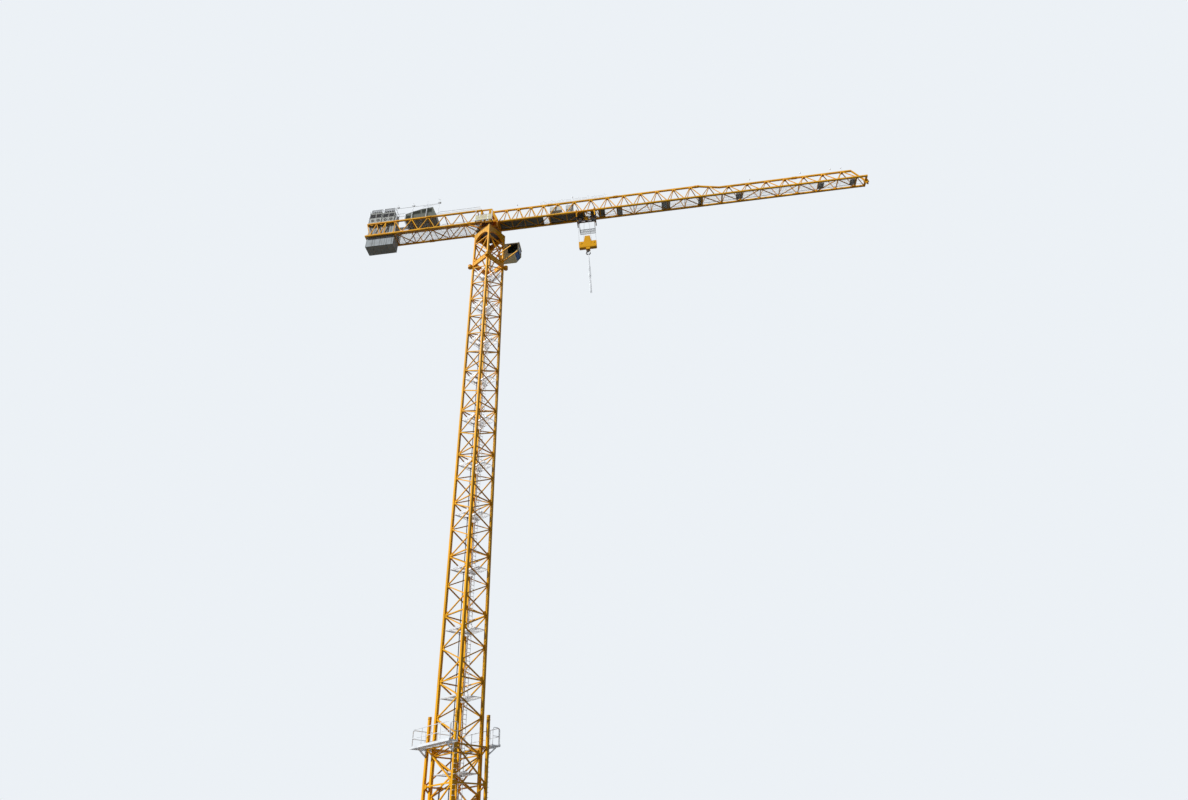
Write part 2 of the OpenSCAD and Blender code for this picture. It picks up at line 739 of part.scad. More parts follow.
// The open end: an end beam, a bar down from the top chord, and the rope's anchor.
module jib_nose() color(yellow) translate([0, 0, chord_z]) {
    half = jib_half + chord_w / 2;
    block([jib_end, -half, -60], [jib_end + 60, half, 60]);
    difference() {
        bar([top_end, 0, jib_tip_h], [jib_end + 20, 0, 30], 70);
        block([top_end - 300, -60, jib_tip_h - chord_w / 2], [top_end, 60, jib_tip_h + 100]);
        block([jib_end, -half, -60], [jib_end + 60, half, 60]);
        block([top_end, -60, -60], [jib_end, 60, jib_brace / 2 + lacing_gap]);
    }
    block([jib_end, -30, -rope_drop - 40], [jib_end + 60, 30, -60]);
    for (y = [-70, 50]) block([jib_end + 60, y, -240], [jib_end + 150, y + 20, 60]);
}

// Winch that pulls the trolley: a drum on two side plates and a motor box, on one frame.
module trolley_winch() color(galvanised) translate([winch_x, 0, chord_z + jib_brace / 2 + plate_t]) {
    drum_d = 300;
    frame_h = 60;
    block([-winch_l / 2, -140, 0], [winch_l / 2, 140, frame_h]);
    translate([-100, 0, frame_h + drum_d / 2 + 20]) rotate([90, 0, 0]) {
        cylinder(d = drum_d * 0.8, h = 240, center = true, $fn = fine);
        for (y = [-112, 112]) translate([0, 0, y]) cylinder(d = drum_d, h = 16, center = true, $fn = fine);
    }
    for (y = [-140, 120]) block([-180, y, frame_h], [-20, y + 20, frame_h + drum_d / 2 + 60]);
    block([150, -120, frame_h], [winch_l / 2 - 40, 120, frame_h + 360]);
}

// Posts on the top chord: a handrail over the winch, and single lamp posts.
module jib_platform() color(galvanised) translate([0, 0, chord_z]) {
    top = jib_h + chord_w / 2;
    end = top_rail_from + top_rail_l;
    for (x = [top_rail_from:top_rail_l / 8:end])
        block([x, -rail_w / 2, top], [x + rail_w, rail_w / 2, top + top_rail_h]);
    block([top_rail_from, -rail_w / 2, top + top_rail_h - rail_w], [end + rail_w, rail_w / 2, top + top_rail_h]);
    for (x = lamp_posts) translate([x, 0, top_h(x) + chord_w / 2])
        block([0, -rail_w / 2, 0], [rail_w, rail_w / 2, 1.5 * top_rail_h]);
}

// The hoist rope's run under the jib, from the turntable to its anchor at the nose.
module jib_rope() color(dark_steel) translate([jib_root, 0, chord_z - rope_drop])
    rotate([0, 90, 0]) cylinder(d = rope_d, h = jib_end - jib_root, $fn = 8);

// Counter-jib

module rear_chords() color(yellow) translate([0, 0, chord_z])
    for (s = [-1, 1], z = [0, rear_h])
        translate([-rear_end, s * rear_half - chord_w / 2, z - chord_w / 2]) cube([rear_end - rear_root, chord_w, chord_w]);

rear_bays = floor((rear_end - end_bay - rear_root) / rear_bay);

// One side of the counter-jib: close braces at the counterweight, then regular bays.
module rear_side() intersection() {
    bay_end = -rear_end + end_bay;
    fan_end = -rear_end + end_bay * 2 / 3;
    union() {
        zigzag(bay_end, bay_end + rear_bays * rear_bay, rear_h, 0, rear_bays, jib_brace);
        zigzag(-rear_end, fan_end, rear_h, 0, 2, jib_brace);
        for (x = [fan_end, bay_end]) strut([x, 0], [x, rear_h], jib_brace);
    }
    translate([-rear_end, chord_w / 2]) square([rear_end - rear_root, rear_h - chord_w]);
}

module rear_lacing() color(yellow) translate([0, 0, chord_z]) {
    for (s = [-1, 1]) wall(s * rear_half, jib_brace) rear_side();
    floor_lacing(slab_end, -rear_root, rear_bays, rear_half);
    half = rear_half - chord_w / 2;
    block([-rear_end, -half, -chord_w / 2], [-rear_end + slab_inset - 10, half, chord_w / 2]);
}

// Beams between the top chords, a deck under the cabinets, one under the hoist, and a
// narrow walkway below.
module rear_deck() color(dark_steel) translate([0, 0, chord_z]) {
    half = rear_half - chord_w / 2;
    top = rear_h + chord_w / 2;
    bay_end = -rear_end + end_bay;
    for (x = [-rear_end, for (i = [0:rear_bays]) bay_end - jib_brace + i * rear_bay])
        block([x, -half, rear_h - 20], [x + jib_brace, half, top]);
    block([-rear_end, -rear_half - 20, top], [bay_end - 60, rear_half + 20, top + plate_t]);
    block([-hoist_x - 60, -rear_half - 20, top], [-hoist_x + hoist_len + 60, rear_half + 20, top + plate_t]);
    block([slab_end, -walk_outer, jib_brace / 2], [-rear_root, walk_outer, jib_brace / 2 + plate_t]);
}

// Slabs that hang between the chords, each on two shoulders that lie on the lower chords.
module counterweight() color(concrete) for (i = [0:slab_count - 1])
    translate([-rear_end + slab_inset + i * (slab_t + slab_gap), 0, chord_z]) {
        ear = rear_half - jib_brace / 2 - 5;
        block([0, -slab_w / 2, -slab_drop], [slab_t, slab_w / 2, rear_h - 60]);
        block([0, -ear, chord_w / 2], [slab_t, ear, chord_w / 2 + 120]);
    }

// Housing of the hoist, with a low rear, a high front and a sloping front face.
module hoist_unit() color("#4b514c") translate([-hoist_x, 0, rear_deck_z]) rotate([90, 0, 0])
    linear_extrude(hoist_w, center = true)
        polygon([[0, 0], [hoist_len, 0], [hoist_len, hoist_h * 0.3], [hoist_len * 0.88, hoist_h],
            [hoist_len * 0.5, hoist_h * 0.93], [0, hoist_h * 0.6]]);

// A box with a flat roof that overhangs it.
module cabinet(length, width, height) {
    translate([0, -width / 2, 0]) cube([length, width, height - 25]);
    translate([-15, -width / 2 - 15, height - 25]) cube([length + 30, width + 30, 25]);
}

module rear_cabinets() color("#c9cbc9") translate([-rear_end + cabinet_gap, 0, rear_deck_z]) {
    cabinet(cabinet_l, cabinet_w, cabinet_h);
    translate([cabinet_l + cabinet_gap, -cabinet_w * 0.1, 0]) cabinet(cabinet_l, cabinet_w * 0.8, cabinet_h * 0.92);
}

// Railings from the hoist to the tower head on both sides, and two lamp posts.
module rear_railings() color(galvanised) translate([0, 0, chord_z + rear_h + chord_w / 2]) {
    from = -hoist_x + hoist_len + 80;
    for (s = [-1, 1]) translate([from, 0, 0]) wall(s * rear_half, rail_w) handrail(-rear_root - from, rear_rail_h, 4);
    for (x = [-rear_end + end_bay, from + 60]) block([x, -rear_half - 45, 0], [x + 30, -rear_half - 15, lamp_h]);
}

// Cab

// A level frame from the turntable's side to above the cab, with hangers to the cab's roof
// and to a step behind its door.
module cab_frame() color(yellow) {
    w = cab_arm;
    low = deck_z + 150;
    mid = cab_y + cab_w / 2;
    end = cab_x + cab_l * 0.75;
    rear = cab_x - cab_step;
    translate([0, 0, low]) linear_extrude(w) intersection() {
        union() {
            strut([jib_root - w / 2, 0], [jib_root - w / 2, mid + w / 2], w);
            strut([jib_root - w / 2, mid], [end, mid], w);
            strut([-300, rear_half - 60], [rear + w / 2, mid + w / 4], w);
        }
        translate([-rear_root, rear_half]) square([end + rear_root, mid + w / 2 - rear_half]);
    }
    for (x = [cab_x + 60, end - w]) block([x, mid - w / 2, cab_z + cab_h], [x + w, mid + w / 2, low]);
    block([rear, cab_y, cab_z], [cab_x, cab_y + cab_w, cab_z + 30]);
    block([rear, mid - w / 4, cab_z + 30], [rear + w / 2, mid + w / 4, low]);
    for (y = [cab_y, cab_y + cab_w - rail_w]) translate([rear, y, cab_z + 30]) {
        cube([rail_w, rail_w, rail_h]);
        for (z = [rail_h / 2, rail_h]) translate([0, 0, z - rail_w]) cube([cab_step, rail_w, rail_w]);
    }
}

// Side outline of the cab, inset by t: the lower front slopes back to the floor.
module cab_outline(t) {
    slope = cab_h * 0.42;
    polygon([[t, t], [cab_l * 0.72 - t / 4, t], [cab_l - t, slope], [cab_l - t, cab_h - t], [t, cab_h - t]]);
}

// Draws a side outline through the cab between two distances across it.
module across_cab(y0, y1) translate([0, y1, 0]) rotate([90, 0, 0]) linear_extrude(y1 - y0) children();

module cab_shell() color("#c4c6c0") translate([cab_x, cab_y, cab_z]) difference() {
    across_cab(0, cab_w) cab_outline(0);
    across_cab(cab_t, cab_w - cab_t) cab_outline(cab_t);
    side_window(-1, cab_w + 1);
    front_window();
}

// The side window follows the cab's outline in front.
module side_window(y0, y1) across_cab(y0, y1) intersection() {
    cab_outline(3 * cab_t);
    translate([cab_l * 0.34, 0]) square([cab_l, cab_h]);
}

// Two front windows: one in the sloping part and one above it.
module front_window() for (z = [[0.07, 0.38], [0.45, 0.92]])
    block([cab_l * 0.6, 2 * cab_t, cab_h * z[0]], [cab_l + 1, cab_w - 2 * cab_t, cab_h * z[1]]);

module cab_glass() color("#20343a") translate([cab_x, cab_y, cab_z]) {
    for (y = [cab_t * 0.3, cab_w - cab_t * 0.7]) side_window(y, y + cab_t * 0.4);
    intersection() {
        across_cab(0, cab_w) difference() {
            cab_outline(cab_t * 0.3);
            cab_outline(cab_t * 0.7);
        }
        front_window();
    }
}

// Trolley

// Two side rails with wheel hangers, cross beams at two heights, the sheaves' inner plates,
// and a fitter's basket on the far side.
module trolley_frame() color(yellow) translate([trolley_x, 0, chord_z]) {
    half = trolley_l / 2;
    low = -chord_w / 2 - 75;
    side_out = side_in + 14;
    for (s = [0, 1]) mirror([0, s, 0]) {
        block([-half, side_in, low], [half, side_out, low + 60]);
        for (x = [-half, half - 70]) block([x, side_in, low], [x + 70, side_out, chord_w / 2 + wheel_d + 20]);
        for (x = [-half, half - 50]) block([x, side_in, -beam_drop], [x + 50, side_out, low]);
        block([-half, plate_y, -beam_drop], [half, plate_y + 20, low]);
    }
    for (x = [-half, half - 60]) block([x, -side_in, low], [x + 60, side_in, low + 50]);
    for (x = [-half, half - 40]) block([x, -side_in, -beam_drop], [x + 40, side_in, 40 - beam_drop]);
    fitter_basket(side_out, low);
}

module fitter_basket(y0, low) {
    x1 = basket_l / 2 - rail_w;
    y1 = y0 + basket_w - rail_w;
    top = -basket_drop + 420;
    block([-basket_l / 2, y0, -basket_drop], [basket_l / 2, y0 + basket_w, -basket_drop + plate_t]);
    for (x = [-basket_l / 2, x1]) {
        block([x, y0, -basket_drop], [x + rail_w, y0 + rail_w, low + 60]);
        block([x, y1, -basket_drop], [x + rail_w, y1 + rail_w, top]);
        for (z = [top, top - 200]) block([x, y0, z - rail_w], [x + rail_w, y1 + rail_w, z]);
    }
    for (z = [top, top - 200]) block([-basket_l / 2, y1, z - rail_w], [basket_l / 2, y1 + rail_w, z]);
}

// Wheels on their stub axles, and three rope sheaves on pins between the inner plates.
module trolley_wheels() color(dark_steel) translate([trolley_x, 0, chord_z]) {
    for (x = [-1, 1], s = [0, 1]) mirror([0, s, 0])
        translate([x * (trolley_l / 2 - 35), side_in, chord_w / 2 + wheel_gap + wheel_d / 2]) rotate([90, 0, 0]) {
            cylinder(d = 30, h = 18, $fn = fine);
            translate([0, 0, 18]) cylinder(d = wheel_d, h = wheel_w, $fn = fine);
        }
    for (x = [-1, 0, 1]) translate([x * sheave_x, 0, sheave_z]) rotate([90, 0, 0]) {
        cylinder(d = sheave_d, h = sheave_t, center = true, $fn = fine);
        cylinder(d = 50, h = 2 * plate_y, center = true, $fn = fine);
    }
}

// Four falls: the outer ones are plumb, and the inner ones lean to the middle sheave.
module hoist_ropes() color(dark_steel) translate([trolley_x, 0, chord_z]) {
    low = -block_drop - block_head_h - block_sheave_drop;
    for (x = [-fall_x, fall_x]) bar([x, 0, low], [x, 0, sheave_z], rope_d);
    off = (sheave_d + rope_d) / 2;
    for (s = [-1, 1]) bar([s * (sheave_x - off), 0, low], [s * off, 0, sheave_z], rope_d);
}

// A tapered head over a wide body with a slot and a fixed sheave at each end, and a
// swivel housing below.
module hook_block() color(yellow) translate([trolley_x, 0, chord_z - block_drop - block_head_h]) {
    t = block_t / 2;
    difference() {
        union() {
            rotate([90, 0, 0]) linear_extrude(block_t, center = true) {
                polygon([[-block_head_w / 2, 0], [block_head_w / 2, 0],
                    [block_head_top / 2, block_head_h], [-block_head_top / 2, block_head_h]]);
                translate([-block_w / 2, -block_h + 60]) square([block_w, block_h - 60]);
                translate([60 - block_w / 2, -block_h]) square([block_w - 120, block_h]);
                for (x = [-1, 1]) translate([x * (block_w / 2 - 60), 60 - block_h]) circle(r = 60, $fn = fine);
                translate([-swivel_w / 2, -block_h - swivel_h]) square([swivel_w, swivel_h + 1]);
            }
        }
        for (s = [0, 1]) mirror([s, 0, 0])
            block([sheave_x - slot_half - 12, -sheave_t / 2 - 5, -block_sheave_drop - slot_half],
                [sheave_x + slot_half, sheave_t / 2 + 5, 1]);
    }
    for (x = [-1, 1]) translate([x * sheave_x, 0, -block_sheave_drop]) rotate([90, 0, 0]) {
        cylinder(d = sheave_d, h = sheave_t, center = true, $fn = fine);
        cylinder(d = 50, h = sheave_t + 20, center = true, $fn = fine);
    }
}

module hook() color(dark_steel) translate([trolley_x, 0, hook_z]) {
    translate([0, 0, -hook_eye + hook_r - 40]) cylinder(d = shank_d, h = hook_eye - hook_r + 40, $fn = fine);
    translate([0, 0, -hook_eye]) rotate([90, 0, 0]) linear_extrude(60, center = true) difference() {
        circle(r = hook_r, $fn = 64);
        circle(r = hook_mouth, $fn = 64);
        polygon([[0, 20], [160, 20], [160, 170], [60, 170]]);
    }
}

// A long link over the hook, with the bundle of chains that hangs from it.
module chain_sling() color(galvanised) {
    seat = hook_z - hook_eye - sqrt(hook_mouth * hook_mouth - link_w * link_w / 4) + 0.1;
    inner = 45;
    translate([trolley_x, 0, seat]) {
        rotate([90, 0, 90]) linear_extrude(link_w, center = true) difference() {
            translate([-inner - link_w, link_w - link_l]) square([2 * (inner + link_w), link_l]);
            translate([-inner, 2 * link_w - link_l]) square([2 * inner, link_l - 2 * link_w]);
        }
        translate([0, 0, link_w - link_l]) rotate_extrude($fn = fine) polygon([[0, 0], [24, 0],
            [30, -0.2 * sling_len], [56, -0.27 * sling_len], [60, -0.55 * sling_len], [40, -0.62 * sling_len],
            [40, -0.9 * sling_len], [66, -0.93 * sling_len], [50, -sling_len - 150], [0, -sling_len - 150]]);
    }
}

base_cross();
mast_legs();
mast_lacing_low();
mast_lacing_mid();
mast_lacing_high();
mast_ladder();
mast_landings();
power_cable();
head_posts();
head_sides();
feed_rails();
slewing_ring();
cage_posts();
cage_sides();
cage_guides();
cage_walkways();
cage_railings();
climbing_jack();
turntable();
tower_head();
turntable_platform();
jib_chords();
jib_inner_lacing();
jib_outer_lacing();
jib_walkway();
jib_nose();
trolley_winch();
jib_platform();
jib_rope();
rear_chords();
rear_lacing();
rear_deck();
counterweight();
hoist_unit();
rear_cabinets();
rear_railings();
cab_frame();
cab_shell();
cab_glass();
trolley_frame();
trolley_wheels();
hoist_ropes();
hook_block();
hook();
chain_sling();
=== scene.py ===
# %% [markdown]
# A flat-top tower crane at half its real size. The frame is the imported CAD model:
# its lattice, its machinery and its joints are already in place, in metres, with the
# origin on the ground under the mast and +X along the jib. This script gives each
# part its finish and adds what is too small for the frame: bolts, gussets, gratings,
# round handrails, rope lay, chain links and the like.

# %% Load the frame
from math import radians

import bpy
import numpy as np
from mathutils import Matrix, Vector


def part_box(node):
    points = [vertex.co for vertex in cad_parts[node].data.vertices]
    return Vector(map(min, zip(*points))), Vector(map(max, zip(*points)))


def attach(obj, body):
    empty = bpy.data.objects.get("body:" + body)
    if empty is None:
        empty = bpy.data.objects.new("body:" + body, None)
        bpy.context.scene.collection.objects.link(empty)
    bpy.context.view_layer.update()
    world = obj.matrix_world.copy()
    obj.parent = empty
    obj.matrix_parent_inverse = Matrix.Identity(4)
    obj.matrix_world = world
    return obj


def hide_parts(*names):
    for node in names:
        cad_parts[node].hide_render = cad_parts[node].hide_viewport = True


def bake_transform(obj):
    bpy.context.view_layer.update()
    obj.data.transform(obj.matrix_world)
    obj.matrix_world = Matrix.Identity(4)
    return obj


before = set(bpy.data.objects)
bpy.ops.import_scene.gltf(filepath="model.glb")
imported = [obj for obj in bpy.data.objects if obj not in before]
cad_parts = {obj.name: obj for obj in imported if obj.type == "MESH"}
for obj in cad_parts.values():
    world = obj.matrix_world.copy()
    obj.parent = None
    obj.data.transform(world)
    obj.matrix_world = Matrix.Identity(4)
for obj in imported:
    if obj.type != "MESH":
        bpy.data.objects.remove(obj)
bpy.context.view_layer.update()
bpy.context.scene.view_settings.view_transform = "Standard"

# %% [markdown]
# The camera stands near the ground, about 26 m from the mast, and looks up past the
# climbing frame to the jib. A wide lens held at a steep tilt is what makes the mast
# taper upwards, so the place and the tilt matter more here than the lens alone. The
# turn about the vertical, the tilt and the roll are applied in that order.

# %% Camera
CAMERA_PLACE = (7.375, -24.93, 1.18)
CAMERA_TURN = 4.49
CAMERA_TILT = 35.9
CAMERA_ROLL = -3.45
CAMERA_LENS = 20.27

camera = bpy.data.objects.new("camera", bpy.data.cameras.new("camera"))
camera.data.lens = CAMERA_LENS
camera.data.clip_end = 4000
turn = Matrix.Rotation(radians(CAMERA_TURN), 4, "Z")
tilt = Matrix.Rotation(radians(90 + CAMERA_TILT), 4, "X")
roll = Matrix.Rotation(radians(CAMERA_ROLL), 4, "Z")
camera.matrix_world = Matrix.Translation(CAMERA_PLACE) @ turn @ tilt @ roll
bpy.context.collection.objects.link(camera)
bpy.context.scene.camera = camera

# %% [markdown]
# A material is a small tree of nodes. Writing each tree by hand takes many lines, so
# two helpers do it: one adds a node and sets its inputs by name, and the other joins
# an output to an input.


# %% Node helpers
def add_node(tree, kind, **values):
    """A node of that kind, with each value set on the property or the input of that name."""
    made = tree.nodes.new(kind)
    for key, value in values.items():
        if hasattr(made, key):
            setattr(made, key, value)
        else:
            made.inputs[key.replace("_", " ")].default_value = value
    return made


def wire(tree, start, end, out=0, into=0):
    """Joins output out of the node start to input into of the node end."""
    tree.links.new(start.outputs[out], end.inputs[into])
    return end


# %% [markdown]
# The light is a broad soft sun from the upper left, which leaves the mast's left
# faces bright and its right faces in shade, and an even glow from the world that
# fills the shade. Rays that come straight from the camera, or by way of gloss and
# glass, see a pale backdrop instead of that glow. The floor does the same: it looks
# pale, but lights the crane's undersides no more than dry ground does, because the
# photograph shows them dark. One helper builds that choice for both.


# %% Light, backdrop and floor
def two_faced(tree, lighting, shown, output):
    """Ends a tree with one shader for rays that light things, and another for rays that reach the eye."""
    ray = add_node(tree, "ShaderNodeLightPath")
    direct = add_node(tree, "ShaderNodeMath", operation="MAXIMUM")
    wire(tree, ray, direct, "Is Camera Ray", 0)
    wire(tree, ray, direct, "Is Glossy Ray", 1)
    eye = add_node(tree, "ShaderNodeMath", operation="MAXIMUM")
    wire(tree, direct, eye, 0, 0)
    wire(tree, ray, eye, "Is Transmission Ray", 1)
    either = add_node(tree, "ShaderNodeMixShader")
    wire(tree, eye, either, 0, 0)
    wire(tree, lighting, either, 0, 1)
    wire(tree, shown, either, 0, 2)
    wire(tree, either, add_node(tree, output))


SUN_FROM = Vector((-0.66, -0.50, 0.56))
SUN_STRENGTH = 4.3
SUN_WIDTH = 6
FILL = (0.20, 0.215, 0.25, 1)
BACKDROP = (0.84, 0.88, 0.92, 1)
FLOOR_LIGHT = (0.11, 0.105, 0.09, 1)
FLOOR_SHOWN = (0.62, 0.63, 0.64, 1)
FLOOR_HALF = 1500

sun = bpy.data.objects.new("sun", bpy.data.lights.new("sun", "SUN"))
sun.data.energy = SUN_STRENGTH
sun.data.angle = radians(SUN_WIDTH)
sun.rotation_euler = SUN_FROM.to_track_quat("Z", "Y").to_euler()
bpy.context.collection.objects.link(sun)

world = bpy.data.worlds.new("studio")
bpy.context.scene.world = world
world.use_nodes = True
sky = world.node_tree
sky.nodes.clear()
glow = add_node(sky, "ShaderNodeBackground", Color=FILL)
backdrop = add_node(sky, "ShaderNodeBackground", Color=BACKDROP)
two_faced(sky, glow, backdrop, "ShaderNodeOutputWorld")

floor_mesh = bpy.data.meshes.new("floor")
corners = FLOOR_HALF * np.array([[-1, -1, 0], [1, -1, 0], [1, 1, 0], [-1, 1, 0]])
floor_mesh.from_pydata(corners.tolist(), [], [(0, 1, 2, 3)])
floor = bpy.data.objects.new("floor", floor_mesh)
floor_finish = bpy.data.materials.new("pale_floor")
floor_finish.use_nodes = True
ground = floor_finish.node_tree
ground.nodes.clear()
dull = add_node(ground, "ShaderNodeBsdfDiffuse", Color=FLOOR_LIGHT)
pale = add_node(ground, "ShaderNodeBsdfDiffuse", Color=FLOOR_SHOWN)
two_faced(ground, dull, pale, "ShaderNodeOutputMaterial")
floor_mesh.materials.append(floor_finish)
bpy.context.collection.objects.link(floor)

# %% [markdown]
# Outdoor steel never keeps one colour. Three things change it, and most of the
# finishes below share them, so they are one shader group: soft blotches where the
# paint has chalked, streaks that rain draws straight down, and a fine grain. The
# blotches and the grain are plain noise. The streaks are noise that is squeezed
# across and stretched along Z by a Mapping node, and they stay off level faces,
# where water stands and doesn't run.


# %% Weathering group
def new_group(name, inputs, outputs):
    """An empty shader group with the named sockets, and its two end nodes."""
    group = bpy.data.node_groups.new(name, "ShaderNodeTree")
    for label, kind, start in inputs:
        socket = group.interface.new_socket(label, in_out="INPUT", socket_type=kind)
        socket.default_value = start
    for label, kind in outputs:
        group.interface.new_socket(label, in_out="OUTPUT", socket_type=kind)
    return group, group.nodes.new("NodeGroupInput"), group.nodes.new("NodeGroupOutput")


weathering, taken, given = new_group(
    "weathering",
    [("Blotch Scale", "NodeSocketFloat", 1.5), ("Grain Scale", "NodeSocketFloat", 60.0)],
    [("Blotch", "NodeSocketFloat"), ("Streak", "NodeSocketFloat"), ("Grain", "NodeSocketFloat")],
)
place = add_node(weathering, "ShaderNodeTexCoord")
blotch = add_node(weathering, "ShaderNodeTexNoise", Detail=4.0, Roughness=0.6)
wire(weathering, place, blotch, "Object", "Vector")
wire(weathering, taken, blotch, "Blotch Scale", "Scale")
wire(weathering, blotch, given, 0, "Blotch")
squeeze = add_node(weathering, "ShaderNodeMapping", Scale=(14, 14, 0.5))
wire(weathering, place, squeeze, "Object", "Vector")
runs = add_node(weathering, "ShaderNodeTexNoise", Scale=1.0, Detail=3.0, Roughness=0.55)
wire(weathering, squeeze, runs, 0, "Vector")
facing = wire(weathering, place, add_node(weathering, "ShaderNodeSeparateXYZ"), "Normal")
level = wire(weathering, facing, add_node(weathering, "ShaderNodeMath", operation="ABSOLUTE"), "Z")
upright = wire(weathering, level, add_node(weathering, "ShaderNodeMapRange", From_Min=0.95, From_Max=0.7), 0,
               "Value")
kept_runs = add_node(weathering, "ShaderNodeMath", operation="MULTIPLY")
wire(weathering, runs, kept_runs, 0, 0)
wire(weathering, upright, kept_runs, 0, 1)
wire(weathering, kept_runs, given, 0, "Streak")
grain = add_node(weathering, "ShaderNodeTexNoise", Detail=2.0)
wire(weathering, place, grain, "Object", "Vector")
wire(weathering, taken, grain, "Grain Scale", "Scale")
wire(weathering, grain, given, 0, "Grain")

# %% [markdown]
# A mast is bolted together from sections that have seen different sites, so each has
# its own shade. A second group gives every stretch of a set length one random value:
# the coordinate along Z, and along X for the jib, is divided by that length and
# rounded down, and a White Noise node turns the whole number into a shade.

# %% Section shade group
section_shade, taken, given = new_group(
    "section_shade",
    [("Length Z", "NodeSocketFloat", 2.4), ("Length X", "NodeSocketFloat", 4.0)],
    [("Shade", "NodeSocketFloat")],
)
place = add_node(section_shade, "ShaderNodeTexCoord")
split = wire(section_shade, place, add_node(section_shade, "ShaderNodeSeparateXYZ"), "Object")
rounded = []
for axis, label in (("Z", "Length Z"), ("X", "Length X")):
    share = add_node(section_shade, "ShaderNodeMath", operation="DIVIDE")
    wire(section_shade, split, share, axis, 0)
    wire(section_shade, taken, share, label, 1)
    rounded.append(wire(section_shade, share, add_node(section_shade, "ShaderNodeMath", operation="FLOOR")))
pair = add_node(section_shade, "ShaderNodeCombineXYZ")
wire(section_shade, rounded[0], pair, 0, "Z")
wire(section_shade, rounded[1], pair, 0, "X")
chance = add_node(section_shade, "ShaderNodeTexWhiteNoise")
wire(section_shade, pair, chance, 0, "Vector")
wire(section_shade, chance, given, "Value", "Shade")


# %% [markdown]
# Every finish is then the same recipe with its own numbers: a clean colour, an aged
# colour that the blotches bring in, and a stain colour that the streaks bring in.
# Roughness follows the grain, and the grain also feeds a Bump node, so that a flat
# plate doesn't look like plastic.


# %% Finish recipe
def ramp(tree, source, out, low, high):
    """A 0 to 1 mask that rises between two levels of a node's output."""
    mask = add_node(tree, "ShaderNodeMapRange", From_Min=low, From_Max=high)
    return wire(tree, source, mask, out, "Value")


def blend_colour(tree, mask, first, second):
    """A colour that goes from first to second with the mask. Either may be a node or a colour."""
    mix = add_node(tree, "ShaderNodeMix", data_type="RGBA")
    wire(tree, mask, mix, 0, 0)
    for side, slot_number in ((first, 6), (second, 7)):
        if isinstance(side, bpy.types.Node):
            tree.links.new(side.outputs[2 if side.type == "MIX" else 0], mix.inputs[slot_number])
        else:
            mix.inputs[slot_number].default_value = (*side, 1)
    return mix


def finish(name, clean, aged, stain, rough=(0.4, 0.6), metal=0.0, blotch=1.5, grain=60.0,
           aged_from=(0.45, 0.75), stain_from=(0.64, 0.84), bump=0.0, shade=0.0, coat=0.0, gloss=0.5):
    """A weathered material: clean, aged and stained colours, and a roughness between two levels."""
    material = bpy.data.materials.new(name)
    material.use_nodes = True
    tree = material.node_tree
    surface = tree.nodes["Principled BSDF"]
    surface.inputs["Metallic"].default_value = metal
    surface.inputs["Coat Weight"].default_value = coat
    surface.inputs["Specular IOR Level"].default_value = gloss
    weather = add_node(tree, "ShaderNodeGroup", node_tree=weathering)
    weather.inputs["Blotch Scale"].default_value = blotch
    weather.inputs["Grain Scale"].default_value = grain
    colour = blend_colour(tree, ramp(tree, weather, "Blotch", *aged_from), clean, aged)
    if shade:
        sections = add_node(tree, "ShaderNodeGroup", node_tree=section_shade)
        darker = tuple(channel * (1 - shade) for channel in clean)
        colour = blend_colour(tree, ramp(tree, sections, "Shade", 0.2, 1.0), colour, darker)
    colour = blend_colour(tree, ramp(tree, weather, "Streak", *stain_from), colour, stain)
    tree.links.new(colour.outputs[2], surface.inputs["Base Color"])
    rough_range = add_node(tree, "ShaderNodeMapRange", To_Min=rough[0], To_Max=rough[1])
    wire(tree, weather, rough_range, "Grain", "Value")
    wire(tree, rough_range, surface, 0, "Roughness")
    if bump:
        relief = add_node(tree, "ShaderNodeBump", Strength=bump, Distance=0.004)
        wire(tree, weather, relief, "Grain", "Height")
        wire(tree, relief, surface, 0, "Normal")
    return material


# %% [markdown]
# The colours are linear values. The crane's paint is a warm orange yellow that turns
# browner where it ages. Galvanised steel is a dull grey with a spangle, and rusts a
# little. The ballast is pale cast concrete with dark water runs.

# %% Finishes
PAINT = (0.88, 0.43, 0.005)
PAINT_AGED = (0.74, 0.30, 0.004)
PAINT_STAIN = (0.33, 0.10, 0.006)

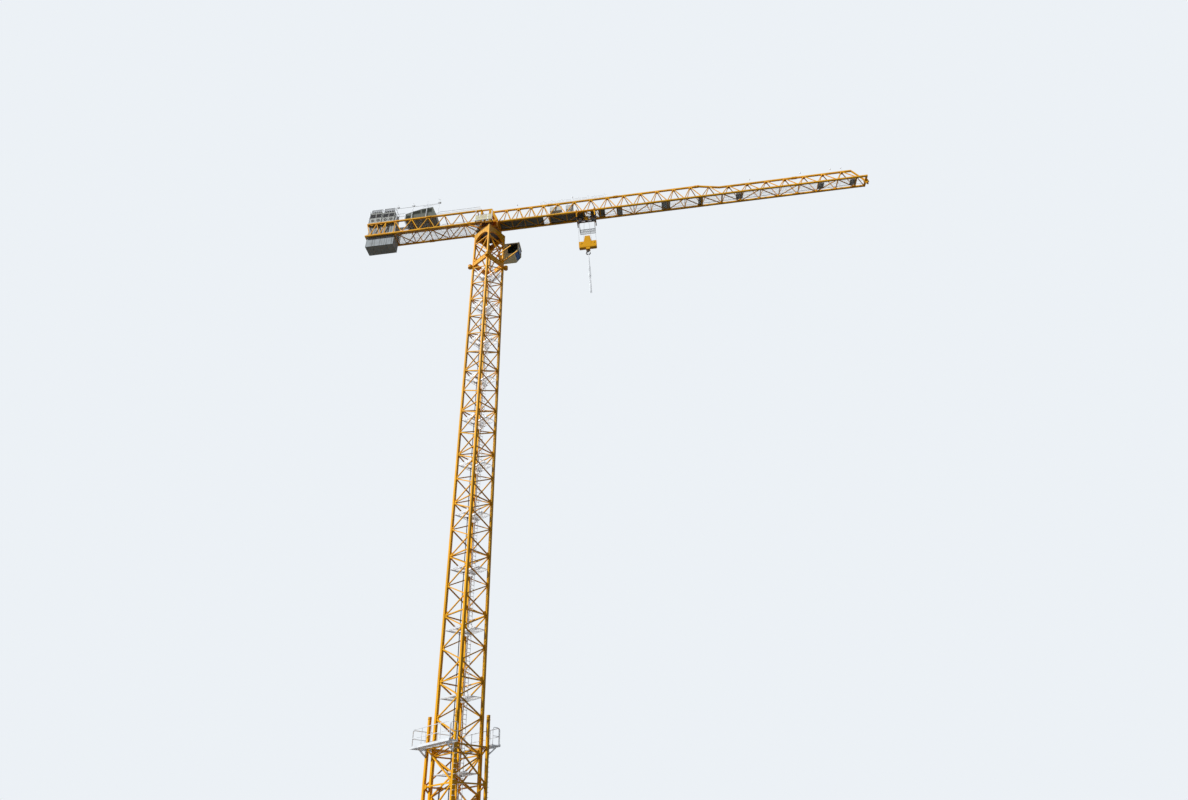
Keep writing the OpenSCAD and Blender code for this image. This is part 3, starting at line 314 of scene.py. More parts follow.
finishes = {
    "yellow_paint": finish("crane_paint", PAINT, PAINT_AGED, PAINT_STAIN, rough=(0.34, 0.5),
                           shade=0.20, coat=0.03, gloss=0.2),
    "amber_paint": finish("turntable_paint", PAINT_AGED, (0.5, 0.17, 0.006), PAINT_STAIN,
                          rough=(0.4, 0.6), gloss=0.2),
    "galvanised_steel": finish("galvanised", (0.72, 0.74, 0.76), (0.52, 0.54, 0.56), (0.32, 0.25, 0.18),
                               rough=(0.38, 0.6), metal=0.3, blotch=9.0, stain_from=(0.66, 0.85)),
    "dark_steel": finish("oiled_steel", (0.07, 0.07, 0.075), (0.12, 0.11, 0.10), (0.16, 0.07, 0.03),
                         rough=(0.35, 0.6), metal=0.6, blotch=6.0, stain_from=(0.62, 0.82)),
    "concrete": finish("ballast_concrete", (0.42, 0.46, 0.48), (0.34, 0.36, 0.36), (0.13, 0.14, 0.13),
                       rough=(0.8, 0.95), blotch=2.5, grain=90.0, stain_from=(0.54, 0.70),
                       bump=0.4, gloss=0.2),
    "housing_paint": finish("housing_paint", (0.105, 0.115, 0.088), (0.15, 0.16, 0.13), (0.04, 0.04, 0.032),
                            rough=(0.4, 0.62), gloss=0.3),
    "cabinet_paint": finish("cabinet_paint", (0.52, 0.53, 0.50), (0.40, 0.41, 0.38), (0.20, 0.17, 0.13),
                            rough=(0.35, 0.55), gloss=0.3),
    "cab_paint": finish("cab_paint", (0.84, 0.78, 0.50), (0.68, 0.62, 0.40), (0.30, 0.25, 0.16),
                        rough=(0.3, 0.5)),
    "cable_jacket": finish("cable_jacket", (0.018, 0.018, 0.02), (0.03, 0.03, 0.03), (0.05, 0.045, 0.04),
                           rough=(0.5, 0.7)),
    "rope_steel": finish("greased_rope", (0.13, 0.13, 0.135), (0.20, 0.20, 0.20), (0.08, 0.06, 0.04),
                         rough=(0.35, 0.55), metal=0.7),
}
print("finishes:", ", ".join(finishes))

# %% [markdown]
# Glass is left out of that recipe, because its colour lies inside it and not on it.
# The pane lets light through, tinted, and reflects the backdrop. The front panes are
# blue and let little through, the side panes are green and clearer. One more finish is
# for small pieces only: a dark grating finish, partly grime and partly painted shade.


# %% Glass
def tinted(name, colour, clear=0.85, ior=1.45):
    """A pane that lets tinted light through. The less clear it is, the more its own colour shows."""
    material = bpy.data.materials.new(name)
    material.use_nodes = True
    surface = material.node_tree.nodes["Principled BSDF"]
    surface.inputs["Base Color"].default_value = (*colour, 1)
    surface.inputs["Roughness"].default_value = 0.03
    surface.inputs["Transmission Weight"].default_value = clear
    surface.inputs["IOR"].default_value = ior
    return material


finishes["tinted_glass"] = tinted("green_glass", (0.03, 0.085, 0.07))
finishes["sky_glass"] = tinted("blue_glass", (0.004, 0.20, 0.62), clear=0.35, ior=1.2)
# Painted shade, in part: this finish is darker than bare galvanised steel to stand for the shade under
# walkways and in the trolley's basket.
finishes["grime_and_shade_grating"] = finish("grime_and_shade_grating", (0.17, 0.165, 0.13), (0.11, 0.10, 0.075),
                                  (0.16, 0.08, 0.03), rough=(0.55, 0.75), metal=0.2, blotch=5.0, gloss=0.3)

# %% [markdown]
# The record names one material slot for each CAD node, and the finishes above carry
# the same names, so one loop dresses the whole frame.

# %% Dress the frame
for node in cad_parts.values():
    node.material_slots[0].material = finishes[node.material_slots[0].material.name.split(".")[0]]
print("dressed:", len(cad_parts), "nodes")

# %% [markdown]
# Most of what a crane shows close up is many copies of a few small forms: bolts, plates,
# straight bars, bent tubes and turned parts. So a shape here is a pair, an array of
# points and a list of arrays of faces, and each helper makes all copies of one form at
# once by adding and multiplying whole arrays. Faces run anticlockwise seen from outside.


# %% Joining shapes and making a piece
def rings_to_walls(rings, sides, closed=False):
    """Four-cornered faces between neighbouring rings of points, as an array of point numbers."""
    ring = np.arange(rings if closed else rings - 1)[:, None] * sides
    after = (ring + sides) % (rings * sides)
    this = np.arange(sides)
    following = (this + 1) % sides
    return np.stack([ring + this, after + this, after + following, ring + following], axis=-1).reshape(-1, 4)


def copies_of(faces, step, count):
    """The same faces for each of count copies whose points are step numbers apart."""
    return (faces[None] + step * np.arange(count)[:, None, None]).reshape(-1, faces.shape[1])


def joined(*shapes):
    """One shape out of several: points in a row, and face numbers moved along to match."""
    starts = np.cumsum([0] + [len(points) for points, _ in shapes])
    faces = [block + start for (_, blocks), start in zip(shapes, starts) for block in blocks]
    return np.concatenate([points for points, _ in shapes]), faces


def piece(name, shape, slot, body, replaced=(), look=None, sharp=38, stretched=None):
    """A mesh object of a shape that rides on a body. Its finish is the slot's, unless look names another.
    A piece given stretched keeps its points where they are and rides on no body; body and the values in
    stretched are not used then."""
    points, faces = shape
    corners = np.concatenate([block.ravel() for block in faces]).astype(np.int32)
    sizes = np.concatenate([np.full(len(block), block.shape[1]) for block in faces])
    mesh = bpy.data.meshes.new(name)
    mesh.vertices.add(len(points))
    mesh.vertices.foreach_set("co", points.astype(np.float32).ravel())
    mesh.loops.add(len(corners))
    mesh.loops.foreach_set("vertex_index", corners)
    mesh.polygons.add(len(sizes))
    mesh.polygons.foreach_set("loop_start", np.concatenate([[0], np.cumsum(sizes)[:-1]]).astype(np.int32))
    mesh.polygons.foreach_set("use_smooth", np.ones(len(sizes), dtype=bool))
    mesh.update(calc_edges=True)
    mesh.set_sharp_from_angle(angle=radians(sharp))
    mesh.materials.append(finishes[look or slot])
    made = bpy.data.objects.new(name, mesh)
    bpy.context.collection.objects.link(made)
    if stretched:
        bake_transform(made)
    else:
        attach(made, body)
    if replaced:
        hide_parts(*replaced)
    print(f"{name}: {int(sizes.sum() - 2 * len(sizes))} triangles")
    return made


# %% [markdown]
# A straight bar needs two directions across it. The first is square to the bar and to
# an "up" that the caller may choose, and the second is square to both. With those, the
# corners of any section are its start or end plus so much of each direction.


# %% Bars and rods
def unit(vectors):
    """Each vector divided by its length."""
    return vectors / np.linalg.norm(vectors, axis=-1, keepdims=True)


def round_angles(count):
    """So many angles, evenly round a circle."""
    return 2 * np.pi * np.arange(count) / count


def across(along, up=None):
    """Two directions square to each of the directions along, and to each other."""
    if up is None:
        steep = np.abs(along[..., 2:]) > 0.95
        up = np.where(steep, np.array([1.0, 0, 0]), np.array([0, 0, 1.0]))
    side = unit(np.cross(along, up))
    return side, np.cross(side, along)


def prisms(starts, ends, section, up=None):
    """Straight bars from starts to ends. The section is a list of (across, up) corners."""
    starts, ends = np.atleast_2d(starts).astype(float), np.atleast_2d(ends).astype(float)
    side, rise = across(unit(ends - starts), up)
    section = np.asarray(section, float)
    ring = section[:, :1] * side[:, None] + section[:, 1:] * rise[:, None]
    points = np.stack([starts[:, None] + ring, ends[:, None] + ring], axis=1)
    count, sides = len(starts), len(section)
    cap = np.arange(sides)[None]
    faces = [copies_of(rings_to_walls(2, sides), 2 * sides, count), copies_of(cap, 2 * sides, count),
             copies_of(cap[:, ::-1] + sides, 2 * sides, count)]
    return points.reshape(-1, 3), faces


def bars(starts, ends, width, depth, up=None):
    """Straight bars of rectangular section: width across, depth towards up."""
    corners = np.array([[-1, -1], [1, -1], [1, 1], [-1, 1]]) * (width / 2, depth / 2)
    return prisms(starts, ends, corners, up)


def rods(starts, ends, radius, sides=8):
    """Straight round bars: the section is a circle, (radius cos t, radius sin t)."""
    t = round_angles(sides)
    return prisms(starts, ends, radius * np.stack([np.cos(t), np.sin(t)], axis=1))


def boxes(lows, highs):
    """Upright boxes between their lowest and highest corners."""
    lows, highs = np.atleast_2d(lows).astype(float), np.atleast_2d(highs).astype(float)
    middle = (lows + highs) / 2
    half = (highs - lows) / 2
    signs = np.array([[x, y, z] for z in (-1, 1) for x, y in ((-1, -1), (1, -1), (1, 1), (-1, 1))])
    points = middle[:, None] + signs * half[:, None]
    faces = np.array([[0, 3, 2, 1], [4, 5, 6, 7], [0, 1, 5, 4], [1, 2, 6, 5], [2, 3, 7, 6], [3, 0, 4, 7]])
    return points.reshape(-1, 3), [copies_of(faces, 8, len(lows))]


# %% [markdown]
# Bent tubes are rings carried along a flat path. The path's tangent is the difference of
# its neighbouring points, and the plane's normal gives the second direction, so a ring
# never twists. Turned parts are rings too, but stacked on an axis with a radius of
# their own each. Plates are an outline pushed out by half a thickness on both sides.


# %% Tubes, turned parts and plates
PLATE_T = 0.014


def tubes(paths, normals, radius, sides=8, closed=False):
    """Tubes along flat paths: each point plus radius (cos t side + sin t normal)."""
    paths = np.asarray(paths, float)
    if paths.ndim == 2:
        paths = paths[None]
    normals = np.broadcast_to(np.asarray(normals, float), (len(paths), 3))
    if closed:
        tangent = unit(np.roll(paths, -1, axis=1) - np.roll(paths, 1, axis=1))
    else:
        tangent = unit(np.gradient(paths, axis=1))
    side = unit(np.cross(tangent, normals[:, None]))
    rise = np.cross(side, tangent)
    t = round_angles(sides)[:, None]
    thick = np.broadcast_to(np.asarray(radius, float), paths.shape[:2])[:, :, None, None]
    points = paths[:, :, None] + thick * (np.cos(t) * side[:, :, None] + np.sin(t) * rise[:, :, None])
    count, length = paths.shape[:2]
    step = length * sides
    faces = [copies_of(rings_to_walls(length, sides, closed), step, count)]
    if not closed:
        cap = np.arange(sides)[None]
        faces += [copies_of(cap, step, count), copies_of(cap[:, ::-1] + step - sides, step, count)]
    return points.reshape(-1, 3), faces


def turned(profile, origins, axes, sides=16):
    """Turned parts: origin + height axis + radius (cos t side + sin t rise), per (radius, height) pair."""
    profile = np.asarray(profile, float)
    origins = np.atleast_2d(origins).astype(float)
    axes = unit(np.broadcast_to(np.asarray(axes, float), origins.shape))
    side, rise = across(axes)
    t = -round_angles(sides)[:, None]
    circle = np.cos(t) * side[:, None] + np.sin(t) * rise[:, None]
    points = (origins[:, None, None] + profile[:, 1, None, None] * axes[:, None, None]
              + profile[:, 0, None, None] * circle[:, None])
    rings = len(profile)
    step = rings * sides
    cap = np.arange(sides)[None]
    faces = [copies_of(rings_to_walls(rings, sides)[:, ::-1], step, len(origins)),
             copies_of(cap[:, ::-1], step, len(origins)), copies_of(cap + step - sides, step, len(origins))]
    return points.reshape(-1, 3), faces


def plates(outline, origins, first, second, thickness=PLATE_T):
    """Flat plates: origin + u first + v second for each (u, v) of the outline, centred in its thickness."""
    outline = np.asarray(outline, float)
    origins = np.atleast_2d(origins).astype(float)
    first = unit(np.broadcast_to(np.asarray(first, float), origins.shape))
    second = unit(np.broadcast_to(np.asarray(second, float), origins.shape))
    flat = origins[:, None] + outline[:, :1] * first[:, None] + outline[:, 1:] * second[:, None]
    lift = np.cross(first, second)[:, None] * thickness / 2
    points = np.stack([flat + lift, flat - lift], axis=1)
    count, sides = len(origins), len(outline)
    cap = np.arange(sides)[None]
    faces = [copies_of(rings_to_walls(2, sides), 2 * sides, count), copies_of(cap, 2 * sides, count),
             copies_of(cap[:, ::-1] + sides, 2 * sides, count)]
    return points.reshape(-1, 3), faces


def both_ways(profile):
    """A profile continued by its mirror image, for a part that is alike on both sides of height zero."""
    return profile + [(radius, -height) for radius, height in reversed(profile) if height]


def bolts(origins, axes, size):
    """Hexagon heads on round washers, for a thread of that size."""
    washer = turned([(1.1 * size, 0), (1.1 * size, 0.2 * size)], origins, axes, 12)
    head = turned([(0.92 * size, 0.2 * size), (0.92 * size, 0.8 * size), (0.8 * size, 0.88 * size)],
                  origins, axes, 6)
    return joined(washer, head)


# %% [markdown]
# The same few sizes of the frame place nearly every piece, so they are named once. The
# mast stands turned about the vertical, so its pieces are worked out in its own axes
# and turned into place at the end, four times where all sides are alike.

# %% Sizes of the frame
MAST_TURN = radians(56.6)
MAST_W = 1.225
LEG_W = 0.1
LEG_AT = (MAST_W - LEG_W) / 2
SECTION = 2.4
SECTIONS = 12
BASE_H = 0.15
BRACE = 0.042
CHORD = 0.09
JIB_HALF = 0.325
JIB_H = 1.34
TIP_H = 1.02
JIB_ROOT = 0.55
ROOT_END = 3.5
JIB_STEP = 12.25
STEP_END = 13.4
REAR_HALF = 0.46
REAR_H = 1.03
REAR_BAY = 0.99
REAR_ROOT = 0.5
SLAB_GAP = 0.012
SLABS = 4

MAST_TOP = BASE_H + SECTION * SECTIONS
DECK_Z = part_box("turntable")[0].z
CHORD_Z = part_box("jib_chords")[0].z + CHORD / 2
JIB_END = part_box("jib_chords")[1].x
TOP_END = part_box("jib_walkway")[1].x
REAR_END = -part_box("rear_chords")[0].x
REAR_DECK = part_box("hoist_unit")[0].z
TROLLEY_X = (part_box("trolley_frame")[0].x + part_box("trolley_frame")[1].x) / 2
UP = np.array([0.0, 0.0, 1.0])
X = np.array([1.0, 0.0, 0.0])
Y = np.array([0.0, 1.0, 0.0])
print(f"mast top {MAST_TOP:.2f} m, chords {CHORD_Z:.3f} m, jib {JIB_END:.2f} m, counter-jib {REAR_END:.2f} m")


def about_z(shape, angle):
    """A shape turned about the vertical."""
    points, faces = shape
    spin = np.array([[np.cos(angle), np.sin(angle), 0], [-np.sin(angle), np.cos(angle), 0], [0, 0, 1]])
    return points @ spin, faces


def on_mast(shape, quarters=(0,)):
    """A shape drawn in the mast's axes, turned into place once for each number of quarter turns."""
    return joined(*(about_z(shape, MAST_TURN + quarter * np.pi / 2) for quarter in quarters))


def repeated(shape, offsets):
    """Copies of a shape, each moved by one offset."""
    points, faces = shape
    offsets = np.atleast_2d(offsets).astype(float)
    moved = (offsets[:, None] + points).reshape(-1, 3)
    return moved, [copies_of(block, len(points), len(offsets)) for block in faces]


def mirrored(shape):
    """A shape and its mirror image across the plane y = 0."""
    points, faces = shape
    flipped = points * (1, -1, 1)
    return joined(shape, (flipped, [block[:, ::-1] for block in faces]))


def at_height(shape, z):
    """A shape moved up by z."""
    return shape[0] + z * UP, shape[1]


def spread(x, y, z):
    """Points as rows of x, y and z, where any of the three may be one number for all points."""
    return np.stack(np.broadcast_arrays(x, y, z), axis=-1)


# %% [markdown]
# On the real mast a small plate is welded into each corner where braces meet a leg. The
# braces of one side climb a quarter of a section each, from leg to leg, so the corners
# lie a quarter section apart and change sides. Sides next to each other start on
# opposite legs. Bolts hold the blocks in the legs' inner corners at each section joint.


# %% Mast gussets and bolts
def side_gussets(flip):
    """Corner plates of one side: one every quarter section, on the left and right leg in turn."""
    step = np.arange(4 * SECTIONS + 1)
    side = np.where(step % 2 == 0, 1, -1) * (-1 if flip else 1)
    inner = LEG_AT - LEG_W / 2 + 0.002
    origins = spread(side * inner, -LEG_AT, BASE_H + step * SECTION / 4)
    origins[0, 2] += 0.09
    origins[-1, 2] -= 0.09
    outline = [(0, -0.12), (0.075, -0.045), (0.075, 0.045), (0, 0.12)]
    inward = spread(-side, 0, 0)
    return plates(outline, origins, inward, UP)


BLOCK_IN = 0.072
BLOCK_UP = 0.173
BLOCK_H = 0.26
gussets = joined(on_mast(side_gussets(False), (0, 2)), on_mast(side_gussets(True), (1, 3)))
piece("mast_gussets", gussets, "yellow_paint", "mast")

joint = BASE_H + SECTION * np.arange(1, SECTIONS)
inset = LEG_AT - BLOCK_IN
above = spread(inset, inset, joint + BLOCK_UP)
below = above - BLOCK_H * UP
corner_bolts = joined(bolts(above, UP, 0.017), bolts(below, -UP, 0.017))
piece("mast_joint_bolts", on_mast(corner_bolts, range(4)), "galvanised_steel", "mast")

# %% [markdown]
# A landing is steel grating: flat bearing bars on edge, thinner cross bars, and a border.
# From below, the sky shows through it, and a solid plate would look wrong there. So
# the grating is made bar by bar, and it takes the place of the plate in the frame.


# %% Gratings
GRID_BAR = 0.004


def grating(x0, y0, x1, y1, depth, pitch=0.034, cross_pitch=0.075, border=0.008):
    """A grating whose upper face is at height zero: a border, bearing bars along Y and cross bars along X."""
    xs = np.linspace(x0, x1, max(2, round((x1 - x0) / pitch) + 1))[1:-1]
    ys = np.linspace(y0, y1, max(2, round((y1 - y0) / cross_pitch) + 1))[1:-1]
    edge_low = [(x0, y0, -depth), (x0, y1 - border, -depth), (x0, y0, -depth), (x1 - border, y0, -depth)]
    edge_high = [(x1, y0 + border, 0), (x1, y1, 0), (x0 + border, y1, 0), (x1, y1, 0)]
    parts = [boxes(edge_low, edge_high)]
    if len(xs):
        low = spread(xs - GRID_BAR / 2, y0, -depth * 0.8)
        parts.append(boxes(low, low + (GRID_BAR, y1 - y0, depth * 0.78)))
    if len(ys):
        low = spread(x0, ys - GRID_BAR / 2, -depth * 0.35)
        parts.append(boxes(low, low + (x1 - x0, GRID_BAR, depth * 0.3)))
    return joined(*parts)


LANDING_T = 0.024
LANDING_DROP = 0.55
side = LEG_AT - BRACE / 2
clear = LEG_AT - LEG_W / 2
landing = joined(
    grating(0.02, -clear, side, clear, LANDING_T),
    grating(-side, -clear, -0.4, clear, LANDING_T),
    grating(-0.4, 0.11, -0.026, clear, LANDING_T),
    grating(-0.026, 0.336, 0.02, clear, LANDING_T),
    boxes([(0.02, -clear, 0), (-0.4, 0.11, 0), (-0.408, -clear, 0)],
          [(0.026, 0.30, 0.05), (-0.03, 0.116, 0.05), (-0.4, 0.11, 0.05)]),
)
levels = BASE_H + SECTION * np.arange(1, SECTIONS + 1) - LANDING_DROP + LANDING_T
landings = repeated(landing, levels[:, None] * UP)
piece("landing_gratings", on_mast(landings), "galvanised_steel", "mast", ["mast_landings"])

# %% [markdown]
# The fixed head is made of welded plate girders. Each has a flange along its edges, which
# is what catches the light, and the flange under the crown follows the arch. The arch
# is a circle through both posts, so the flange is a flat strip carried along that
# circle. Upright ribs stiffen the lower band between its flanges.


# %% Head flanges and ribs
def strip(paths, normals, thickness, width):
    """A flat strip carried along flat paths: thickness in the path's plane, width along its normal."""
    shape_points, shape_faces = tubes(paths, normals, 1.0, 4)
    centre = np.repeat(np.asarray(paths, float).reshape(-1, 3), 4, axis=0)
    normal = unit(np.asarray(normals, float))
    offset = shape_points - centre
    along_normal = (offset @ normal)[:, None] * normal
    in_plane = offset - along_normal
    quarter = np.tile(np.array([[1, 1], [-1, 1], [-1, -1], [1, -1]]), (len(centre) // 4, 1))
    in_plane_unit = unit(in_plane[0::4].repeat(4, axis=0))
    points = centre + in_plane_unit * quarter[:, :1] * thickness / 2 + normal * quarter[:, 1:] * width / 2
    return points, shape_faces


HEAD_H = 2.74
BAND_Z = 0.275
BAND_H = 0.34
CROWN_H = 0.33
ARCH = 0.33
arch_r = (clear * clear + ARCH * ARCH) / (2 * ARCH)
reach = np.arcsin(clear / arch_r) * 0.985
swing = np.linspace(-reach, reach, 25)
arch = spread(arch_r * np.sin(swing), -LEG_AT, HEAD_H - CROWN_H - arch_r + arch_r * np.cos(swing))
band_low = BAND_Z - BAND_H / 2
band_high = BAND_Z + BAND_H / 2
edge_z = np.array([band_low + 0.006, band_high - 0.006, HEAD_H - 0.006])
left = spread(-clear, -LEG_AT, edge_z)
rib_x = np.linspace(-0.35, 0.35, 5)
rib_low = spread(rib_x, -LEG_AT, band_low)
crown_x = np.linspace(-0.4, 0.4, 5)
crown_low = HEAD_H - CROWN_H - arch_r + np.sqrt(arch_r ** 2 - crown_x ** 2)
crown_rib = spread(crown_x, -LEG_AT, crown_low)
crown_end = spread(crown_x, -LEG_AT, HEAD_H)
head_side = joined(
    strip(arch, -Y, 0.012, 0.094),
    bars(left, left * (-1, 1, 1), 0.094, 0.012),
    bars(rib_low, rib_low + BAND_H * UP, 0.010, 0.08, Y),
    bars(crown_rib, crown_end, 0.010, 0.08, Y),
)
piece("head_flanges", on_mast(at_height(head_side, MAST_TOP), range(4)), "yellow_paint", "mast")

lug_at = MAST_W / 2 + 0.224 * 0.34
lug = turned([(0.118, 0), (0.118, 0.018), (0.106, 0.026), (0.106, 0.15), (0.118, 0.158), (0.118, 0.176),
              (0.03, 0.19)], (lug_at, lug_at, MAST_TOP), UP, 28)
piece("head_lug_collars", on_mast(lug, range(4)), "yellow_paint", "mast")

# %% [markdown]
# The slewing ring carries its teeth on the outside, where the pinions of two slewing
# motors reach them. A tooth is one trapezium pushed out to the ring's width, repeated
# round the circle. Bolts show where the turntable's own box doesn't cover the ring.

# %% Slewing ring
RING_R = 0.59
RING_TOP = MAST_TOP + HEAD_H + 0.11
TEETH = 96
RING_BOLTS = 60
BOLT_RING_R = 0.545
turn_at = round_angles(TEETH)
outward = spread(np.cos(turn_at), np.sin(turn_at), 0)
sideways = spread(-np.sin(turn_at), np.cos(turn_at), 0)
tooth = [(-0.002, -0.012), (0.018, -0.006), (0.018, 0.006), (-0.002, 0.012)]
teeth = plates(tooth, outward * RING_R + (RING_TOP - 0.05) * UP, outward, sideways, 0.076)
seals = turned([(RING_R + 0.003, 0), (RING_R + 0.003, 0.008)],
               [(0, 0, RING_TOP - 0.012), (0, 0, RING_TOP - 0.104)], UP, 72)
piece("ring_teeth", joined(teeth, seals), "dark_steel", "mast")

bolt_at = 2 * np.pi * (np.arange(RING_BOLTS) + 0.5) / RING_BOLTS
bolt_place = spread(BOLT_RING_R * np.cos(bolt_at), BOLT_RING_R * np.sin(bolt_at), DECK_Z + 0.06)
open_place = bolt_place[(np.abs(bolt_place[:, 1]) > 0.48) | (bolt_place[:, 0] < -0.52)]
piece("ring_bolts", bolts(open_place, UP, 0.013), "galvanised_steel", "slewing_part")

motor = [(0.05, -0.105), (0.05, -0.02), (0.035, -0.015), (0.035, 0.03), (0.1, 0.035), (0.1, 0.075),
         (0.085, 0.085),
         (0.085, 0.19), (0.1, 0.2), (0.1, 0.215), (0.075, 0.225), (0.075, 0.42), (0.062, 0.44), (0.062, 0.47),
         (0.02, 0.48)]
motor_place = np.array([(-0.66, -0.17, DECK_Z + 0.09), (-0.66, 0.17, DECK_Z + 0.09)])
fin_at = np.linspace(0.24, 0.4, 9)
fin_place = np.concatenate([place + fin_at[:, None] * UP for place in motor_place])
fins = turned([(0.083, -0.004), (0.083, 0.004)], fin_place, UP, 24)
bracket = boxes((-0.78, -0.3, DECK_Z + 0.1), (-REAR_ROOT, 0.3, DECK_Z + 0.125))
piece("slewing_motors", joined(turned(motor, motor_place, UP, 24), fins, bracket), "housing_paint",
      "slewing_part")

# %% [markdown]
# The climbing frame stands round the mast's foot. Three of its sides have two
# walkways, the fourth is open where new sections come in. Each walkway is a grating in
# an angle border with a kick board, on bracket frames that stand out from the posts.
# One function draws the stretch between two distances, and it is turned to each side.

# %% Climbing frame walkways
CAGE_HALF = 0.718
POST_W = 0.09
WALK_HALF = 1.15
WALK_LEVELS = (5.27, 2.77)
WALK_T = 0.045
WALK_EDGE = 0.008
LEDGER_HALF = 0.022
CAGE_GRID = (0.03, 0.04, 0.09)
RAIL_H = 0.55
RAIL_W = 0.02
WALK_IN = CAGE_HALF + POST_W / 2
PLANKS = {1: (-WALK_IN - 0.15, WALK_IN - 0.002), 2: (-WALK_HALF, WALK_IN - 0.002),
          3: (-WALK_HALF, WALK_IN + 0.15)}


def walkway(x0, x1):
    """One stretch of walkway at height zero, with its border, kick board and two brackets."""
    floor_part = grating(x0, -WALK_HALF + WALK_EDGE, x1, -WALK_IN, *CAGE_GRID)
    border = boxes([(x0, -WALK_HALF, -WALK_T), (x0, -WALK_IN - 0.012, -WALK_T)],
                   [(x1, -WALK_HALF + WALK_EDGE, 0.03), (x1, -WALK_IN, 0)])
    bearers = np.linspace(x0 + 0.02, x1 - 0.02, 6)
    bearer = spread(bearers, -WALK_HALF + WALK_EDGE, -WALK_T)
    parts = [floor_part, border,
             boxes(bearer - (0.006, 0, 0), bearer + (0.006, WALK_HALF - WALK_IN - 0.02, 0.016))]
    for x in (-CAGE_HALF, CAGE_HALF):
        top = -WALK_T - LEDGER_HALF
        parts.append(bars([(x, -WALK_IN, top), (x, -WALK_IN - 0.004, top - 0.24), (x, -WALK_IN - 0.018, top)],
                          [(x, 0.04 - WALK_HALF, top), (x, 0.07 - WALK_HALF, top - 0.01),
                           (x, -WALK_IN - 0.018, top - 0.25)], 0.036, 0.036))
        web = [(0, 0), (0, -0.075), (-0.105, 0)]
        parts.append(plates(web[::-1], (x, -WALK_IN, top), Y, UP, 0.01))
    return joined(*parts)


decks = joined(*(on_mast(at_height(walkway(*ends), z), (side,))
                 for side, ends in PLANKS.items() for z in WALK_LEVELS))
piece("cage_gratings", decks, "galvanised_steel", "climbing_frame", ["cage_walkways"])

# %% [markdown]
# Each railing is one long tube bent down at both ends, with a middle rail and thinner
# posts welded in. The tube's path is worked out once as points: up, a quarter circle,
# along, a quarter circle, down. The same helper then serves the counter-jib.


# %% Railings
def rail_path(start, along, length, height, bend):
    """Points of a tube that rises, bends over, runs along and comes down again."""
    t = np.linspace(0, np.pi / 2, 7)
    rise = np.stack([bend - bend * np.cos(t), height - bend + bend * np.sin(t)], axis=1)
    fall = np.stack([length - rise[::-1, 0], rise[::-1, 1]], axis=1)
    flat = np.concatenate([[(0, 0)], rise, fall, [(length, 0)]])
    return np.asarray(start, float) + flat[:, :1] * along + flat[:, 1:] * UP


def railing(start, along, length, height=RAIL_H, bend=0.09, posts=5, radius=0.0115):
    """A tube railing with a middle rail and inner posts, on foot plates."""
    start, along = np.asarray(start, float), unit(np.asarray(along, float))
    normal = np.cross(along, UP)
    parts = [tubes(rail_path(start, along, length, height, bend), normal, radius, 10)]
    middle = start + height * 0.5 * UP
    parts.append(rods(middle, middle + length * along, radius * 0.8, 8))
    spots = start + np.linspace(0, length, posts)[:, None] * along
    if posts > 2:
        parts.append(rods(spots[1:-1], spots[1:-1] + (height - 0.004) * UP, radius * 0.9, 8))
    foot = turned([(0.028, 0), (0.028, 0.008), (0.016, 0.01), (0.016, 0.035)], spots, UP, 12)
    return joined(*parts, foot)


outer_y = -WALK_HALF + RAIL_W * 1.5
corner = WALK_HALF - 0.08
inset = RAIL_W / 2
ends = {1: (PLANKS[1][0] + 0.01, corner), 2: (-corner, corner), 3: (-corner, PLANKS[3][1] - 0.01)}
runs = []
for side, (x0, x1) in ends.items():
    run = railing((x0 + inset, outer_y, 0), X, x1 - x0 - RAIL_W)
    if side != 2:
        end_x = x0 + inset if side == 1 else x1 - inset
        back = railing((end_x, -WALK_HALF + 0.07, 0), Y, WALK_HALF - WALK_IN - 0.1, posts=2)
        run = joined(run, back)
    runs.append(joined(*(on_mast(at_height(run, z), (side,)) for z in WALK_LEVELS)))
piece("cage_tube_railings", joined(*runs), "galvanised_steel", "climbing_frame", ["cage_railings"])

# %% [markdown]
# Where a ledger or a brace meets a post there is a welded plate with two bolts. The
# posts end in a round cap, and have their lifting eye on the side, because the cap goes
# up close under the tower head. Rungs on two posts let a fitter climb from one walkway
# to the next. The jack gets its hoses, end clevises and rod gland.

# %% Climbing frame fittings
ledger_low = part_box("cage_sides")[0].z + LEDGER_HALF
ledger_step = (WALK_LEVELS[0] - WALK_T - LEDGER_HALF - 0.71) / 4
LEDGERS = [ledger_low + step * ledger_step for step in range(5)]
plate_face = -CAGE_HALF - 0.024
plate_at = np.array([(side * (CAGE_HALF - 0.085), plate_face, z) for side in (-1, 1) for z in LEDGERS])
plate_sign = np.sign(plate_at[:, :1]) * X
clear_top = plate_at[:, 2] < LEDGERS[-1] - 0.01
corner_plate = [(-0.07, -0.05), (0.038, -0.08), (0.038, 0.08), (-0.07, 0.05)]
node_plates = plates(corner_plate, plate_at[clear_top], plate_sign[clear_top], UP, 0.012)
bolt_at = np.concatenate([plate_at[clear_top] + (0, -0.006, dz) for dz in (-0.03, 0.03)])
fittings = joined(node_plates, bolts(bolt_at, -Y, 0.012))
piece("cage_node_plates", on_mast(fittings, range(4)), "yellow_paint", "climbing_frame")

POST_TOP = 6.15
eye_turn = np.linspace(0, 2 * np.pi, 21)[:-1]
eye = spread(0.028 * np.cos(eye_turn), 0, 0.028 * np.sin(eye_turn) - 0.10)
eyes = tubes(eye + (CAGE_HALF + POST_W / 2 + 0.024, CAGE_HALF, POST_TOP), Y, 0.008, 8, closed=True)
rims = turned([(0.0665, 0), (0.0665, 0.012)], [(CAGE_HALF, CAGE_HALF, POST_TOP - 0.002),
                                               (CAGE_HALF, CAGE_HALF, POST_TOP + 0.05)],
              UP, 24)
piece("cage_post_caps", on_mast(joined(eyes, rims), range(4)), "yellow_paint", "climbing_frame")

